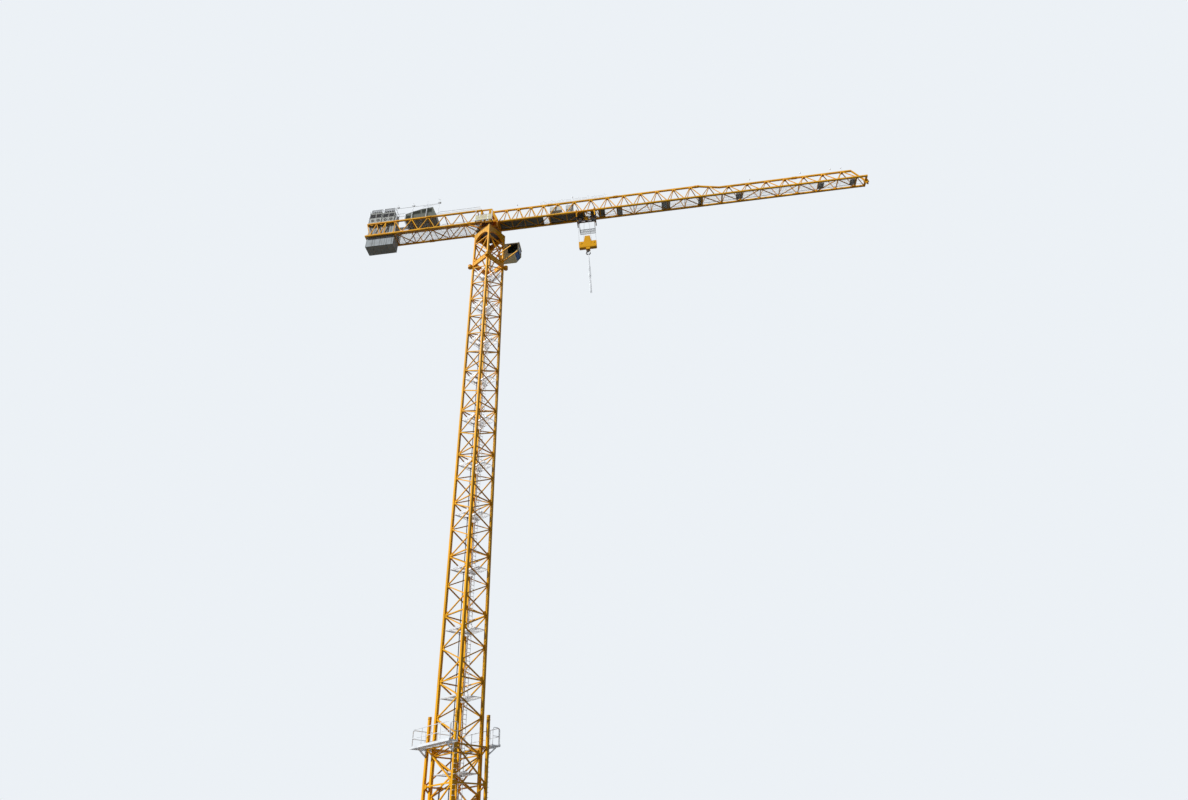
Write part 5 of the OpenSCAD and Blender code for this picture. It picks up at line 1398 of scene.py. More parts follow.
# %% Turntable platform
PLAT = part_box("turntable_platform")
plat_floor = CHORD_Z - 0.3
px0, px1, py0 = PLAT[0].x, PLAT[1].x, PLAT[0].y
floor_part = at_height(grating(px0, py0, px1, -REAR_HALF, 0.03, 0.026, 0.07), plat_floor)
beams = boxes([(px0, py0 + 0.02, plat_floor - 0.03), (px1 - 0.02, py0 + 0.02, plat_floor - 0.03),
               (-0.2, py0 + 0.02, plat_floor - 0.03)],
              [(px0 + 0.02, -REAR_HALF, plat_floor - 0.006), (px1, -REAR_HALF, plat_floor - 0.006),
               (-0.17, -REAR_HALF, plat_floor - 0.006)])
piece("platform_floor", joined(floor_part, beams), "dark_steel", "slewing_part", ["turntable_platform"])

rail_y = py0 + RAIL_W * 1.5
front_rail = railing((px0 + 0.01, rail_y, plat_floor), X, px1 - px0 - 0.02, 0.49, 0.09, 5)
tall_post = np.array([(px0 + 0.015, py0 + 0.075, plat_floor)])
thick_post = np.array([(px1 - 0.03, py0 + 0.09, plat_floor)])
posts = joined(rods(tall_post, tall_post + 1.0 * UP, 0.013, 10),
               turned([(0.014, 0.9), (0.028, 0.91), (0.028, 0.97), (0.014, 0.995)], tall_post, UP, 16),
               turned([(0.04, 0), (0.04, 0.01), (0.028, 0.014), (0.028, 0.83), (0.022, 0.85)],
                      thick_post, UP, 20))
piece("platform_rails", joined(front_rail, posts), "galvanised_steel", "slewing_part")

pitch = (px1 - px0 - 0.02) / 4
sheet_x = px0 + 0.03 + pitch * np.arange(4)
sheet = spread(sheet_x, rail_y - 0.003, plat_floor + 0.02)
width = pitch - 0.045
rib_at = np.concatenate([sheet + (dx * width, -0.004, 0.02) for dx in (0.2, 0.4, 0.6, 0.8)])
sheets = joined(boxes(sheet, sheet + (width, 0.006, 0.43)), boxes(rib_at, rib_at + (0.012, 0.014, 0.39)),
                boxes(sheet - (0.002, 0.002, 0.002), sheet + (width + 0.002, 0.008, 0.014)),
                boxes(sheet + (-0.002, -0.002, 0.416), sheet + (width + 0.002, 0.008, 0.432)))
piece("platform_sheets", sheets, "cab_paint", "slewing_part")

# %% [markdown]
# The turntable is a welded box. Upright ribs stiffen its walls, and a lip runs round the
# opening that looks through it. The struts to the counter-jib end in pinned lugs.

# %% Turntable ribs
box_low, box_high = DECK_Z + 0.06, CHORD_Z - CHORD / 2
edge = 0.09
rib_y = REAR_HALF + 0.002
rim = np.array([(-REAR_ROOT + edge, rib_y, box_low + edge), (JIB_ROOT - edge, rib_y, box_low + edge),
                (JIB_ROOT - edge, rib_y, box_high - 0.06), (-REAR_ROOT + edge, rib_y, box_high - 0.06)])
lips = bars(rim, np.roll(rim, -1, axis=0), 0.012, 0.014)
wall_y = np.linspace(-0.38, 0.38, 5)
front = spread(JIB_ROOT + 0.006, wall_y, box_low)
rear = spread(-REAR_ROOT - 0.006, wall_y, box_low)
rib_foot = np.concatenate([front, rear[[0, 4]]])
ribs = bars(rib_foot, rib_foot + (box_high - box_low) * UP, 0.012, 0.012, X)
piece("turntable_ribs", joined(mirrored(lips), ribs), "amber_paint", "slewing_part")

# %% [markdown]
# The cab's panes sit in rubber. The real sequence is shell, rubber frame, pane, so the
# rubber is a bead carried round each opening, drawn from the same outline as the
# opening: a straight back edge, and the slope of the cab's nose in front.

# %% Cab window rubbers
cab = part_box("cab_shell")
CX, CY, CZ = cab[0]
CL, CW, CH = cab[1] - cab[0]
CAB_T = 0.025
NOSE_AT = 0.42
SIDE_INSET = 0.075
SIDE_FROM = 0.34
BEAD_R = 0.011
GLASS_T = 0.010


def cab_point(u, z, y):
    """A point at the distance u from the cab's back, z above its floor and y from its near side."""
    return np.array([CX + u, CY + y, CZ + z])


def outline_u(z, inset):
    """Distance from the cab's back to its front at the height z, less an inset."""
    slope = CH * NOSE_AT
    return (CL * 0.72 - inset / 4) + (CL * 0.28 - inset * 0.75) * np.clip((z - inset) / (slope - inset), 0, 1)


side_z = np.array([SIDE_INSET, CH * NOSE_AT, CH - SIDE_INSET])
side_path = np.array([(CL * SIDE_FROM, side_z[0]), (outline_u(side_z[0], SIDE_INSET), side_z[0]),
                      (CL - SIDE_INSET, side_z[1]), (CL - SIDE_INSET, side_z[2]),
                      (CL * SIDE_FROM, side_z[2])])
middle = side_path.mean(axis=0)
shrunk = middle + (side_path - middle) * 0.975


def bead(corners, radius, sides=8):
    """A round bead through corners in space, with short chamfers so that the ring never folds."""
    corners = np.asarray(corners, float)
    ahead = np.roll(corners, -1, axis=0)
    behind = np.roll(corners, 1, axis=0)
    back, forward = unit(behind - corners), unit(ahead - corners)
    path = np.stack([corners + 0.03 * back, corners + 0.009 * (back + forward), corners + 0.03 * forward],
                    axis=1)
    path = path.reshape(-1, 3)
    normal = unit(np.cross(corners[1] - corners[0], corners[2] - corners[1]))
    return tubes(path, normal, radius, sides, closed=True)


beads = [bead([cab_point(u, z, y) for u, z in shrunk], BEAD_R) for y in (0.002, CW - 0.002)]
front_low = [(outline_u(z, 0.0) + 0.002, z) for z in (0.07 * CH + 0.012, 0.38 * CH - 0.012)]
front_high = [(CL + 0.002, z) for z in (0.45 * CH + 0.01, 0.92 * CH - 0.01)]
for (u0, z0), (u1, z1) in (front_low, front_high):
    y0, y1 = 2 * CAB_T + 0.01, CW - 2 * CAB_T - 0.01
    frame_corners = [(u0, z0, y0), (u0, z0, y1), (u1, z1, y1), (u1, z1, y0)]
    beads.append(bead([cab_point(*corner) for corner in frame_corners], BEAD_R))
piece("window_rubbers", joined(*beads), "cable_jacket", "slewing_part")

# %% [markdown]
# The frame holds all the glass as one solid. Here each pane is a sheet of its own, 10 mm
# thick: two green side panes with the outline of their openings, and two blue front
# panes, the lower of which leans with the cab's nose.

# %% Cab panes
side_glass = [(CL * SIDE_FROM - 0.01, side_z[0] - 0.01), (outline_u(side_z[0], SIDE_INSET), side_z[0] - 0.01),
              (CL - 0.067, side_z[1]), (CL - 0.067, side_z[2] + 0.01),
              (CL * SIDE_FROM - 0.01, side_z[2] + 0.01)]
side_panes = plates(side_glass, [cab_point(0, 0, y) for y in (CAB_T / 2, CW - CAB_T / 2)], X, UP, GLASS_T)
piece("cab_side_panes", side_panes, "tinted_glass", "slewing_part", ["cab_glass"])

panes = []
for (u0, z0), (u1, z1) in (front_low, front_high):
    start = cab_point(u0 - CAB_T / 2, z0 - 0.015, CW / 2)
    end = cab_point(u1 - CAB_T / 2, z1 + 0.015, CW / 2)
    panes.append(bars(start, end, CW - 4 * CAB_T + 0.01, GLASS_T, X))
piece("cab_front_panes", joined(*panes), "tinted_glass", "slewing_part", look="sky_glass")

# %% [markdown]
# Outside, the cab has a roof lip, a door on its back wall with hinges and a handle, grab
# rails, wipers and a mirror. Inside, a seat with two armrest consoles fills the view
# through the glass, which would otherwise show an empty box.

# %% Cab outside
x_end = CX + CL
roof_z = CZ + CH
parts = [boxes((CX - 0.012, CY - 0.012, roof_z - 0.02), (x_end + 0.03, CY + CW + 0.012, roof_z + 0.008)),
         boxes((CX - 0.004, CY - 0.004, CZ - 0.004), (CX + CL * 0.71, CY + CW + 0.004, CZ + 0.018))]
door_y0, door_y1 = CY + 0.08, CY + CW - 0.08
door_x = CX - 0.006
door = np.array([(door_x, door_y0, CZ + 0.06), (door_x, door_y1, CZ + 0.06), (door_x, door_y1, roof_z - 0.06),
                 (door_x, door_y0, roof_z - 0.06)])
parts.append(bars(door, np.roll(door, -1, axis=0), 0.02, 0.012, np.array([1.0, 0.001, 0.002])))
parts.append(boxes((door_x - 0.002, door_y0, CZ + 0.06), (door_x + 0.006, door_y1, CZ + NOSE_AT * CH)))
hinge = np.array([(door_x - 0.008, door_y1 + 0.006, CZ + share * CH) for share in (0.16, 0.5, 0.84)])
parts.append(rods(hinge - 0.03 * UP, hinge + 0.03 * UP, 0.009, 10))
panel_u = CL * 0.3
parts.append(boxes((CX + 0.03, CY - 0.004, CZ + 0.05), (CX + panel_u, CY + 0.002, CZ + NOSE_AT * CH)))
parts.append(boxes((CX + 0.03, CY - 0.004, CZ + 0.47 * CH), (CX + panel_u, CY + 0.002, roof_z - 0.05)))
piece("cab_trim", joined(*parts), "cab_paint", "slewing_part")

grab = [tubes(rail_path((CX - 0.004, CY + y, CZ + 0.35), -X, 0.045, 0.02, 0.018), Y, 0.007, 8)
        for y in (0.04, CW - 0.04)]
bar_at = np.array([cab_point(CL + 0.012, 0.43 * CH, 0.06), cab_point(CL + 0.012, 0.43 * CH, CW - 0.06)])
grab.append(rods(bar_at[:1], bar_at[1:], 0.009, 8))
stub = bar_at + [(0, 0.04, 0), (0, -0.04, 0)]
grab.append(rods(stub, stub - 0.03 * X, 0.007, 8))
for wiper_y, top_share in ((0.22, 0.8), (CW - 0.22, 0.8)):
    pivot = cab_point(CL + 0.008, 0.43 * CH, wiper_y)
    tip = cab_point(CL + 0.016, top_share * CH, wiper_y + 0.1)
    grab.append(rods(pivot, tip, 0.004, 6))
    grab.append(rods(tip - (0, 0.05, 0.09), tip + (0, 0.03, 0.05), 0.006, 6))
mirror_arm = cab_point(CL - 0.02, 0.9 * CH, 0)
grab.append(rods(mirror_arm, mirror_arm + (0.03, -0.06, 0.0), 0.006, 8))
grab.append(boxes(mirror_arm + (0.018, -0.10, -0.085), mirror_arm + (0.034, -0.035, 0.045)))
piece("cab_rails_wipers", joined(*grab), "dark_steel", "slewing_part")

lamp_at = np.array([cab_point(u, CH + 0.008, y) for u in (0.16 * CL, 0.9 * CL) for y in (0.1, CW - 0.1)])
lamps = joined(rods(lamp_at, lamp_at + 0.03 * UP, 0.008, 8),
               turned([(0.016, -0.03), (0.036, -0.026), (0.044, 0.02), (0.044, 0.028)],
                      lamp_at + 0.05 * UP, X, 20))
piece("cab_lamps", lamps, "galvanised_steel", "slewing_part")

# %% Cab seat and consoles


def cushion(centre, half, lean=0.0, power=4.0, rows=17, columns=24):
    """A padded block, leant back: each direction's x, y and z on a sphere is raised to 2/power."""
    v = np.linspace(-np.pi / 2, np.pi / 2, rows)[1:-1, None]
    t = round_angles(columns)[None]
    bulge = 2 / power
    flat = np.stack(np.broadcast_arrays(np.cos(v), np.sin(v), np.cos(t), np.sin(t)))
    ring, rise, east, north = np.sign(flat) * np.abs(flat) ** bulge
    points = np.stack([half[0] * ring * east, half[1] * ring * north, half[2] * rise], axis=-1).reshape(-1, 3)
    poles = np.array([(0, 0, -half[2]), (0, 0, half[2])])
    points = np.concatenate([points, poles])
    turn_back = np.array([[np.cos(lean), 0, -np.sin(lean)], [0, 1, 0], [np.sin(lean), 0, np.cos(lean)]])
    rings = rows - 2
    this = np.arange(columns)
    low_cap = spread((this + 1) % columns, this, rings * columns)
    high_cap = spread(this + (rings - 1) * columns, (this + 1) % columns + (rings - 1) * columns,
                      rings * columns + 1)
    return points @ turn_back.T + centre, [rings_to_walls(rings, columns)[:, ::-1], low_cap, high_cap]


seat_u, seat_y = CL * 0.36, CW / 2
seat = joined(cushion(cab_point(seat_u, 0.30, seat_y), (0.14, 0.14, 0.04)),
              cushion(cab_point(seat_u - 0.14, 0.50, seat_y), (0.035, 0.13, 0.19), lean=-0.15),
              cushion(cab_point(seat_u - 0.18, 0.72, seat_y), (0.03, 0.08, 0.05), lean=-0.15),
              boxes(cab_point(seat_u - 0.06, CAB_T, seat_y - 0.06),
                    cab_point(seat_u + 0.06, 0.27, seat_y + 0.06)))
consoles = []
for side in (-1, 1):
    y = seat_y + side * 0.2
    consoles.append(boxes(cab_point(seat_u - 0.06, CAB_T, y - 0.045),
                          cab_point(seat_u + 0.17, 0.38, y + 0.045)))
    consoles.append(rods(cab_point(seat_u + 0.11, 0.38, y), cab_point(seat_u + 0.12, 0.45, y), 0.008, 8))
    consoles.append(cushion(cab_point(seat_u + 0.122, 0.465, y), (0.016, 0.016, 0.024), 0.0, 2.4, 9, 12))
piece("cab_seat", joined(seat, *consoles), "cable_jacket", "slewing_part")

# %% [markdown]
# The trolley's wheels have a flange that keeps them on the chord, and its rope sheaves
# have a groove. Both are turned parts, so a profile of a few points gives the groove its
# shape. They replace the plain cylinders of the frame and keep their places.

# %% Trolley wheels and sheaves
SIDE_IN = JIB_HALF + CHORD / 2 + 0.014
WHEEL_R = 0.045
SHEAVE_R = 0.114
ROPE_R = 0.006
SHEAVE_X = 0.475 - SHEAVE_R - ROPE_R
SHEAVE_DROP = -0.18 - SHEAVE_R - ROPE_R - 0.0005
WHEEL_X = 0.515
wheel_z = CHORD_Z + CHORD / 2 + 0.0003 + WHEEL_R
wheel_at = np.array([(TROLLEY_X + x, SIDE_IN, wheel_z) for x in (-WHEEL_X, WHEEL_X)])
wheel = [(0.015, 0), (0.015, 0.018), (0.040, 0.018), (0.0445, 0.020), (0.045, 0.024), (0.045, 0.040),
         (0.043, 0.0435), (0.034, 0.044), (0.030, 0.040), (0.018, 0.040), (0.016, 0.043), (0.006, 0.044)]
wheels = mirrored(turned(wheel, wheel_at, -Y, 32))
rim, web = SHEAVE_R, 0.022
sheave = both_ways([(0.025, -0.04), (0.025, -0.03), (0.05, -0.03), (0.052, -web), (rim - 0.03, -web),
                    (rim - 0.022, -0.03), (rim - 0.003, -0.03), (rim, -0.027), (rim - 0.001, -0.012),
                    (rim - 0.016, -0.005), (rim - 0.018, 0)])
sheave_at = np.array([(TROLLEY_X + x, 0, CHORD_Z + SHEAVE_DROP) for x in (-SHEAVE_X, 0, SHEAVE_X)])
piece("trolley_sheaves", joined(wheels, turned(sheave, sheave_at, Y, 48)), "dark_steel", "trolley",
      ["trolley_wheels"])

# %% [markdown]
# The trolley is two yellow side frames that hang from the wheels, with channels across
# and a dark carriage of rope sheaves between them. That dark is partly painted shade: the
# carriage's outer cheeks are the same plates as its yellow middle cheek. The frame's plain plates are
# replaced: each side frame is a channel with tapered hangers, and only a cheek stands
# beside each sheave, so that the sky shows between them as in the photograph.

# %% Trolley frames and carriage
RAIL_DROP = 0.12
BEAM_DROP = 0.52
PLATE_Y = 0.05
CHEEK_T = 0.020
SHEET_T = 0.008
half = 0.55
low_z = CHORD_Z - RAIL_DROP
centre = np.array([TROLLEY_X, 0, CHORD_Z])
wall = SIDE_IN + 0.007
hanger = [(-0.045, 0), (0.045, 0), (0.026, 0.235), (-0.026, 0.235)]
hanger_at = centre + [(x, wall, -RAIL_DROP) for x in (-0.505, 0.505)]
leg = [(-0.03, -0.40), (0.03, -0.40), (0.03, 0.03), (-0.03, 0.03)]
leg_flange = centre + [(x, SIDE_IN, -BEAM_DROP) for x in (-half, half - SHEET_T)]
side_frame = joined(boxes(centre + (-half, SIDE_IN, -RAIL_DROP), centre + (half, SIDE_IN + 0.010, -0.06)),
                    boxes(centre + [(-half, SIDE_IN, z) for z in (-RAIL_DROP, -0.06 - SHEET_T)],
                          centre + [(half, SIDE_IN + 0.03, z) for z in (SHEET_T - RAIL_DROP, -0.06)]),
                    plates(hanger, hanger_at, X, UP),
                    plates(leg, centre + [(x, wall, -RAIL_DROP) for x in (-0.52, 0.52)], X, UP),
                    boxes(leg_flange, leg_flange + (SHEET_T, 0.03, BEAM_DROP - RAIL_DROP)))
cross_x = np.array([-half + 0.004, half - 0.012])
cross_low = centre + [(x, -SIDE_IN, -RAIL_DROP) for x in cross_x]
cross = joined(boxes(cross_low, cross_low + (SHEET_T, 2 * SIDE_IN, 0.05)),
               boxes(centre + [(x, -SIDE_IN, -RAIL_DROP) for x in (-half, half - 0.05)],
                     centre + [(x, SIDE_IN, SHEET_T - RAIL_DROP) for x in (0.05 - half, half)]))
cheek = [(-0.13, -0.12), (-0.13, -0.02), (0.13, -0.02), (0.13, -0.12), (0.06, -0.36), (-0.06, -0.36)]
middle_at = centre + [(0, side * PLATE_Y, -RAIL_DROP) for side in (-1, 1)]
middle_cheek = plates(cheek[::-1], middle_at, X, UP, CHEEK_T)
piece("trolley_side_frames", joined(mirrored(side_frame), cross, middle_cheek), "yellow_paint", "trolley",
      ["trolley_frame"])

# Painted shade, in part: the outer cheeks and the carriage beams are dark steel, while the middle cheek of
# the same form is yellow.
outer_at = centre + [(x, side * PLATE_Y, -RAIL_DROP) for x in (-SHEAVE_X, SHEAVE_X) for side in (-1, 1)]
outer_cheek = plates(cheek[::-1], outer_at, X, UP, CHEEK_T)
beam = centre + [(-half, side * PLATE_Y, z) for side in (-1, 1) for z in (-0.155, -0.495)]
carriage = joined(outer_cheek, boxes(beam - (0, 0.010, 0.025), beam + (2 * half, 0.010, 0.025)),
                  boxes(centre + [(x, -SIDE_IN, -BEAM_DROP) for x in (-half, half - 0.04)],
                        centre + [(x + 0.04, SIDE_IN, 0.04 - BEAM_DROP) for x in (-half, half - 0.04)]))
piece("sheave_carriage", carriage, "dark_steel", "trolley")

# %% [markdown]
# On these go the things that a welder and a fitter add: corner webs, axle plates with
# bolts, and pin retainers. A fitter's basket of bent tube hangs on the far side, with
# mesh all round and a grating floor. Its dark finish is partly grime and partly painted shade.

# %% Trolley fittings and basket
parts = []
corner_web = [(0, 0), (0, -0.13), (0.1, 0)]
for x, direction in ((-half + 0.05, 1), (half - 0.05, -1)):
    spot = np.array([(TROLLEY_X + x, SIDE_IN + 0.007, low_z)])
    parts.append(plates(corner_web, spot, direction * X, UP, 0.010))
    spot_low = np.array([(TROLLEY_X + x - 0.04 * direction, PLATE_Y - 0.002, CHORD_Z - 0.48)])
    parts.append(plates([(0, 0), (0.1, 0), (0, 0.12)], spot_low, direction * X, UP, 0.018))
face_y = SIDE_IN + 0.014
axle_at = np.array([(TROLLEY_X + x, face_y, wheel_z) for x in (-WHEEL_X, WHEEL_X)])
parts.append(turned([(0.03, 0), (0.03, 0.006), (0.02, 0.008), (0.02, 0.014), (0.012, 0.016)], axle_at, Y, 24))
small = np.array([(dx, 0, dz) for dx in (-0.024, 0.024) for dz in (-0.075, -0.105)])
parts.append(bolts((axle_at[:, None] + small).reshape(-1, 3), Y, 0.007))
frame_fittings = mirrored(joined(*parts))
pin_face = 0.06
pin_at = np.array([(TROLLEY_X + x, side * pin_face, CHORD_Z + SHEAVE_DROP) for x in (-SHEAVE_X, 0, SHEAVE_X)
                   for side in (-1, 1)])
pin_axis = np.array([(0, side, 0) for _ in range(3) for side in (-1, 1)])
retainers = turned([(0.042, 0), (0.042, 0.006), (0.028, 0.008), (0.028, 0.014), (0.02, 0.016)],
                   pin_at, pin_axis, 24)
piece("trolley_plates", joined(frame_fittings, retainers), "yellow_paint", "trolley")

bx0, bx1 = TROLLEY_X - 0.45, TROLLEY_X + 0.45
by0, by1 = SIDE_IN + 0.014, SIDE_IN + 0.014 + 0.34
bz = CHORD_Z - 0.76 + 0.012
toe = boxes([(bx0, by0, bz), (bx0, by1 - 0.004, bz), (bx0, by0, bz), (bx1 - 0.004, by0, bz)],
            [(bx1, by0 + 0.004, bz + 0.03), (bx1, by1, bz + 0.03), (bx0 + 0.004, by1, bz + 0.03),
             (bx1, by1, bz + 0.03)])
tube_foot = np.array([(x, y, bz) for x in (bx0 + 0.01, bx1 - 0.01) for y in (by0 + 0.01, by1 - 0.01)])
tube_top = tube_foot + np.array([0.70, 0.42, 0.70, 0.42])[:, None] * UP
basket_tubes = [rods(tube_foot, tube_top, 0.011, 8)]
for level in (0.22, 0.41):
    rail_at = tube_foot + level * UP
    basket_tubes.append(rods(rail_at[[0, 2, 1]], rail_at[[1, 3, 3]], 0.010, 8))
wire_x = np.linspace(bx0 + 0.05, bx1 - 0.05, 17)
wire_low = spread(wire_x, by1 - 0.01, bz)
wire_y = np.linspace(by0 + 0.05, by1 - 0.05, 6)
ends_low = np.array([(x, y, bz) for x in (bx0 + 0.01, bx1 - 0.01) for y in wire_y])
levels = bz + np.array([0.12, 0.18, 0.30, 0.36])
long_wires = spread(bx0, by1 - 0.01, levels)
mesh = joined(rods(wire_low, wire_low + 0.40 * UP, 0.003, 6), rods(ends_low, ends_low + 0.40 * UP, 0.003, 6),
              rods(long_wires, long_wires + (bx1 - bx0) * X, 0.003, 6))
tread = at_height(grating(bx0 + 0.004, by0 + 0.004, bx1 - 0.004, by1 - 0.004, 0.010, 0.04, 0.05), bz + 0.010)
piece("basket_mesh", joined(toe, mesh, tread, *basket_tubes), "dark_steel", "trolley", look="grime_and_shade_grating")

# %% [markdown]
# The hook block is heavy plate. Its sheaves sit deep in their slots, so what shows is the
# groove at the top, the plate edges, the pin retainers and the bolts. Guards keep the
# ropes in, and ballast plates are bolted to the lower body.

# %% Hook block details
BLOCK_TOP = CHORD_Z - 1.85 - 0.45
BLOCK_T = 0.18
BLOCK_AXLE = -0.15
bolt_rows = [((-0.43, -0.28, -0.1, 0.1, 0.28, 0.43), (-0.4,)), ((-0.15, 0.15), (0.02, -0.22)),
             ((-0.1, 0.1), (0.38, 0.2))]
bolt_xz = np.array([(x, z) for row_x, row_z in bolt_rows for x in row_x for z in row_z])
pin_xz = np.array([(-SHEAVE_X, BLOCK_AXLE), (SHEAVE_X, BLOCK_AXLE)])
parts = []
for side in (-1, 1):
    face_y = side * BLOCK_T / 2
    spot = spread(TROLLEY_X + bolt_xz[:, 0], face_y, BLOCK_TOP + bolt_xz[:, 1])
    parts.append(bolts(spot, side * Y, 0.014))
    pin = spread(TROLLEY_X + pin_xz[:, 0], face_y, BLOCK_TOP + pin_xz[:, 1])
    parts.append(turned([(0.06, 0), (0.06, 0.008), (0.036, 0.010), (0.036, 0.022), (0.026, 0.026)], pin,
                        side * Y, 32))
block_bolts = joined(*parts)
plate_outline = [(-0.16, -0.43), (0.16, -0.43), (0.19, -0.40), (0.19, -0.02), (0.13, 0.40), (-0.13, 0.40),
                 (-0.19, -0.02), (-0.19, -0.40)]
low_outline = [(-0.42, -0.46), (0.42, -0.46), (0.46, -0.42), (0.46, -0.30), (-0.46, -0.30), (-0.46, -0.42)]
cheek_at = np.array([(TROLLEY_X, side * (BLOCK_T / 2 + 0.003), BLOCK_TOP) for side in (-1, 1)])
cheeks = joined(plates(plate_outline, cheek_at, X, UP, 0.010), plates(low_outline, cheek_at, X, UP, 0.012))
edge_band = boxes((TROLLEY_X - 0.11, -0.098, BLOCK_TOP - 0.645), (TROLLEY_X + 0.11, 0.098, BLOCK_TOP - 0.60))
guard_t = np.linspace(0.25 * np.pi, 0.75 * np.pi, 9)
guard = (SHEAVE_R + 0.016) * spread(np.cos(guard_t), 0, np.sin(guard_t))
guard_z = BLOCK_TOP + BLOCK_AXLE
guard_at = np.array([(TROLLEY_X + x, y, guard_z) for x in (-SHEAVE_X, SHEAVE_X) for y in (-0.045, 0.045)])
guards = tubes(guard[None] + guard_at[:, None], Y, 0.005, 6)
piece("block_plates", joined(block_bolts, cheeks, edge_band, guards), "yellow_paint", "block")

# %% [markdown]
# Four falls of rope join the trolley and the block, which move apart and together. Each
# fall has points at its two ends only, with straight walls between them, and is left in
# place on no body. The outer falls are plumb,
# and the inner ones lean to the middle sheave.

# %% Hoist ropes
fall_top, fall_low = CHORD_Z + SHEAVE_DROP, BLOCK_TOP + BLOCK_AXLE
pitch_r = SHEAVE_R + ROPE_R
top_x = TROLLEY_X + np.array([-SHEAVE_X - pitch_r, -pitch_r, pitch_r, SHEAVE_X + pitch_r])
low_x = TROLLEY_X + np.array([-SHEAVE_X - pitch_r, pitch_r - SHEAVE_X, SHEAVE_X - pitch_r,
                              SHEAVE_X + pitch_r])
falls = rods(spread(low_x, 0, fall_low), spread(top_x, 0, fall_top), ROPE_R, 12)
piece("hoist_falls", falls, "rope_steel", "trolley", ["hoist_ropes"],
      stretched=("block", (TROLLEY_X, 0, fall_top - 0.05), (TROLLEY_X, 0, fall_low + 0.05)))

# %% [markdown]
# A forged hook is a bar that tapers towards its tip while it bends. Its centre line is a
# path in one plane: straight down the shank, then round an arc. The thickness along the
# path is a function too, thickest at the bottom of the bend, where the load pulls.

# %% Hook
HOOK_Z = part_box("hook")[1].z
EYE = HOOK_Z - 0.25
HOOK_R = 0.11
arc = np.linspace(np.pi / 2, np.pi / 2 + 1.62 * np.pi, 49)
bend_path = spread(HOOK_R * np.cos(arc), 0, EYE + HOOK_R * np.sin(arc))
t = np.linspace(0, 1, len(arc))
swell = 0.006 * np.sin(np.pi * np.clip(t * 1.25, 0, 1))
thick = 0.028 + swell - 0.014 * np.clip((t - 0.72) / 0.28, 0, 1) ** 2
hook_body = tubes(bend_path + (TROLLEY_X, 0, 0), Y, thick, 16)
shank = turned([(0.030, -0.155), (0.034, -0.13), (0.035, -0.06), (0.035, 0)], (TROLLEY_X, 0, HOOK_Z), UP, 24)
collar = turned([(0.035, -0.105), (0.05, -0.10), (0.052, -0.085), (0.04, -0.07)],
                (TROLLEY_X, 0, HOOK_Z), UP, 24)
tip = bend_path[-1] + (TROLLEY_X, 0, 0)
tip_cap = cushion(tip, (0.021, 0.021, 0.021), 0.0, 2.0, 11, 16)
latch = joined(rods((TROLLEY_X + 0.035, 0, EYE + 0.115), tip + (-0.012, 0, 0.012), 0.007, 10),
               rods((TROLLEY_X + 0.03, -0.04, EYE + 0.118), (TROLLEY_X + 0.03, 0.04, EYE + 0.118), 0.009, 12))
piece("forged_hook", joined(hook_body, shank, collar, tip_cap, latch), "dark_steel",
      "hook_and_sling", ["hook"])

# %% [markdown]
# The sling is real chain: every link is a closed tube round a stadium, two straight runs
# and two half circles, and each link is turned a quarter from the last. Four legs hang
# from one master link. They are gathered halfway and end in hooks.


# %% Chain sling
def chain(top, bottom, bar=0.0075, pitch=0.045, width=0.014):
    """Links from one point to another. Each is a stadium, and every second one is turned a quarter."""
    top, bottom = np.asarray(top, float), np.asarray(bottom, float)
    count = max(2, int(round(np.linalg.norm(bottom - top) / pitch)))
    along = (bottom - top) / count
    axis = unit(along)
    side, rise = across(axis[None])
    straight = np.linalg.norm(along) / 2 + bar - width * 0.5
    t = np.linspace(0, np.pi, 5)
    lobe = np.stack([width * np.cos(t), straight - width * 0.3 + width * np.sin(t)], axis=1)
    flat = np.concatenate([lobe, -lobe])
    places = top + (np.arange(count) + 0.5)[:, None] * along
    shapes = []
    for start, first, second in ((0, side[0], rise[0]), (1, rise[0], side[0])):
        centre = places[start::2]
        path = centre[:, None] + flat[:, :1] * first + flat[:, 1:] * axis
        shapes.append(tubes(path, second, bar, 5, closed=True))
    return joined(*shapes)


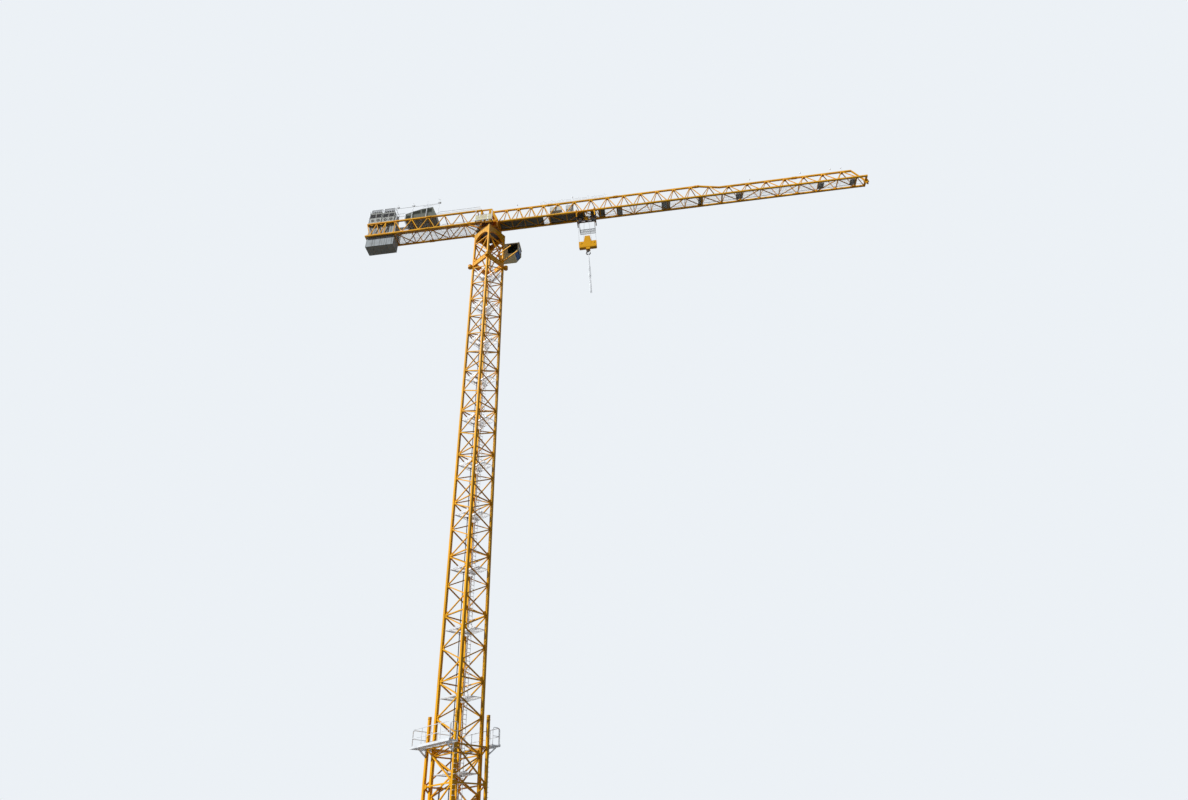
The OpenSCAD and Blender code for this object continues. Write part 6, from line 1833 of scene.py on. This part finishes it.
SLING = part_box("chain_sling")
ring_top = SLING[1].z
master_t = round_angles(32)
rounding = np.sign(np.sin(master_t)) * np.abs(np.sin(master_t)) ** 0.8
master = spread(TROLLEY_X, 0.055 * np.cos(master_t), ring_top - 0.15 + 0.135 * rounding)
parts = [tubes(master, X, 0.0145, 10, closed=True)]
hang = ring_top - 0.285
bottom = SLING[0].z + 0.16
offsets = np.array([(0.02, 0.014), (-0.02, 0.014), (0.016, -0.018), (-0.018, -0.016)])
span = hang - bottom
for number, (dx, dy) in enumerate(offsets):
    spots = [(TROLLEY_X + 0.4 * dx, 0.4 * dy, hang), (TROLLEY_X + dx, dy, hang - 0.2 * span),
             (TROLLEY_X + 1.9 * dx, 1.9 * dy, hang - 0.4 * span),
             (TROLLEY_X + 1.2 * dx, 1.2 * dy, hang - 0.66 * span),
             (TROLLEY_X + 1.5 * dx, 1.5 * dy, bottom + 0.03 * number)]
    parts += [chain(start, end) for start, end in zip(spots[:-1], spots[1:])]
    loop_top = np.array([TROLLEY_X + 1.2 * dx, 1.9 * dy, hang - 0.25 * span])
    loop_low = loop_top - (0, 0, 0.3 * span)
    parts.append(chain(loop_top + (0.012, 0.006, 0), loop_low + (0.016 * np.sign(dx), 0.01, 0)))
    foot = np.array([TROLLEY_X + 1.5 * dx, 1.5 * dy, bottom + 0.03 * number])
    end_t = np.linspace(np.pi / 2, np.pi / 2 + 1.55 * np.pi, 15)
    end_hook = foot + spread(0.028 * np.cos(end_t) * np.sign(dx), 0, -0.06 + 0.028 * np.sin(end_t))
    parts.append(tubes(end_hook, Y, 0.010, 8))
    parts.append(turned([(0.010, -0.035), (0.013, -0.03), (0.013, 0.0), (0.007, 0.012)], foot, UP, 12))
tie_z = hang - 0.56 * span
tie_t = round_angles(24)
for lift in (-0.014, 0, 0.014):
    tie = spread(TROLLEY_X + 0.05 * np.cos(tie_t), 0.045 * np.sin(tie_t), tie_z + lift)
    parts.append(tubes(tie, UP, 0.0075, 6, closed=True))
piece("sling_chains", joined(*parts), "galvanised_steel", "hook_and_sling", ["chain_sling"])
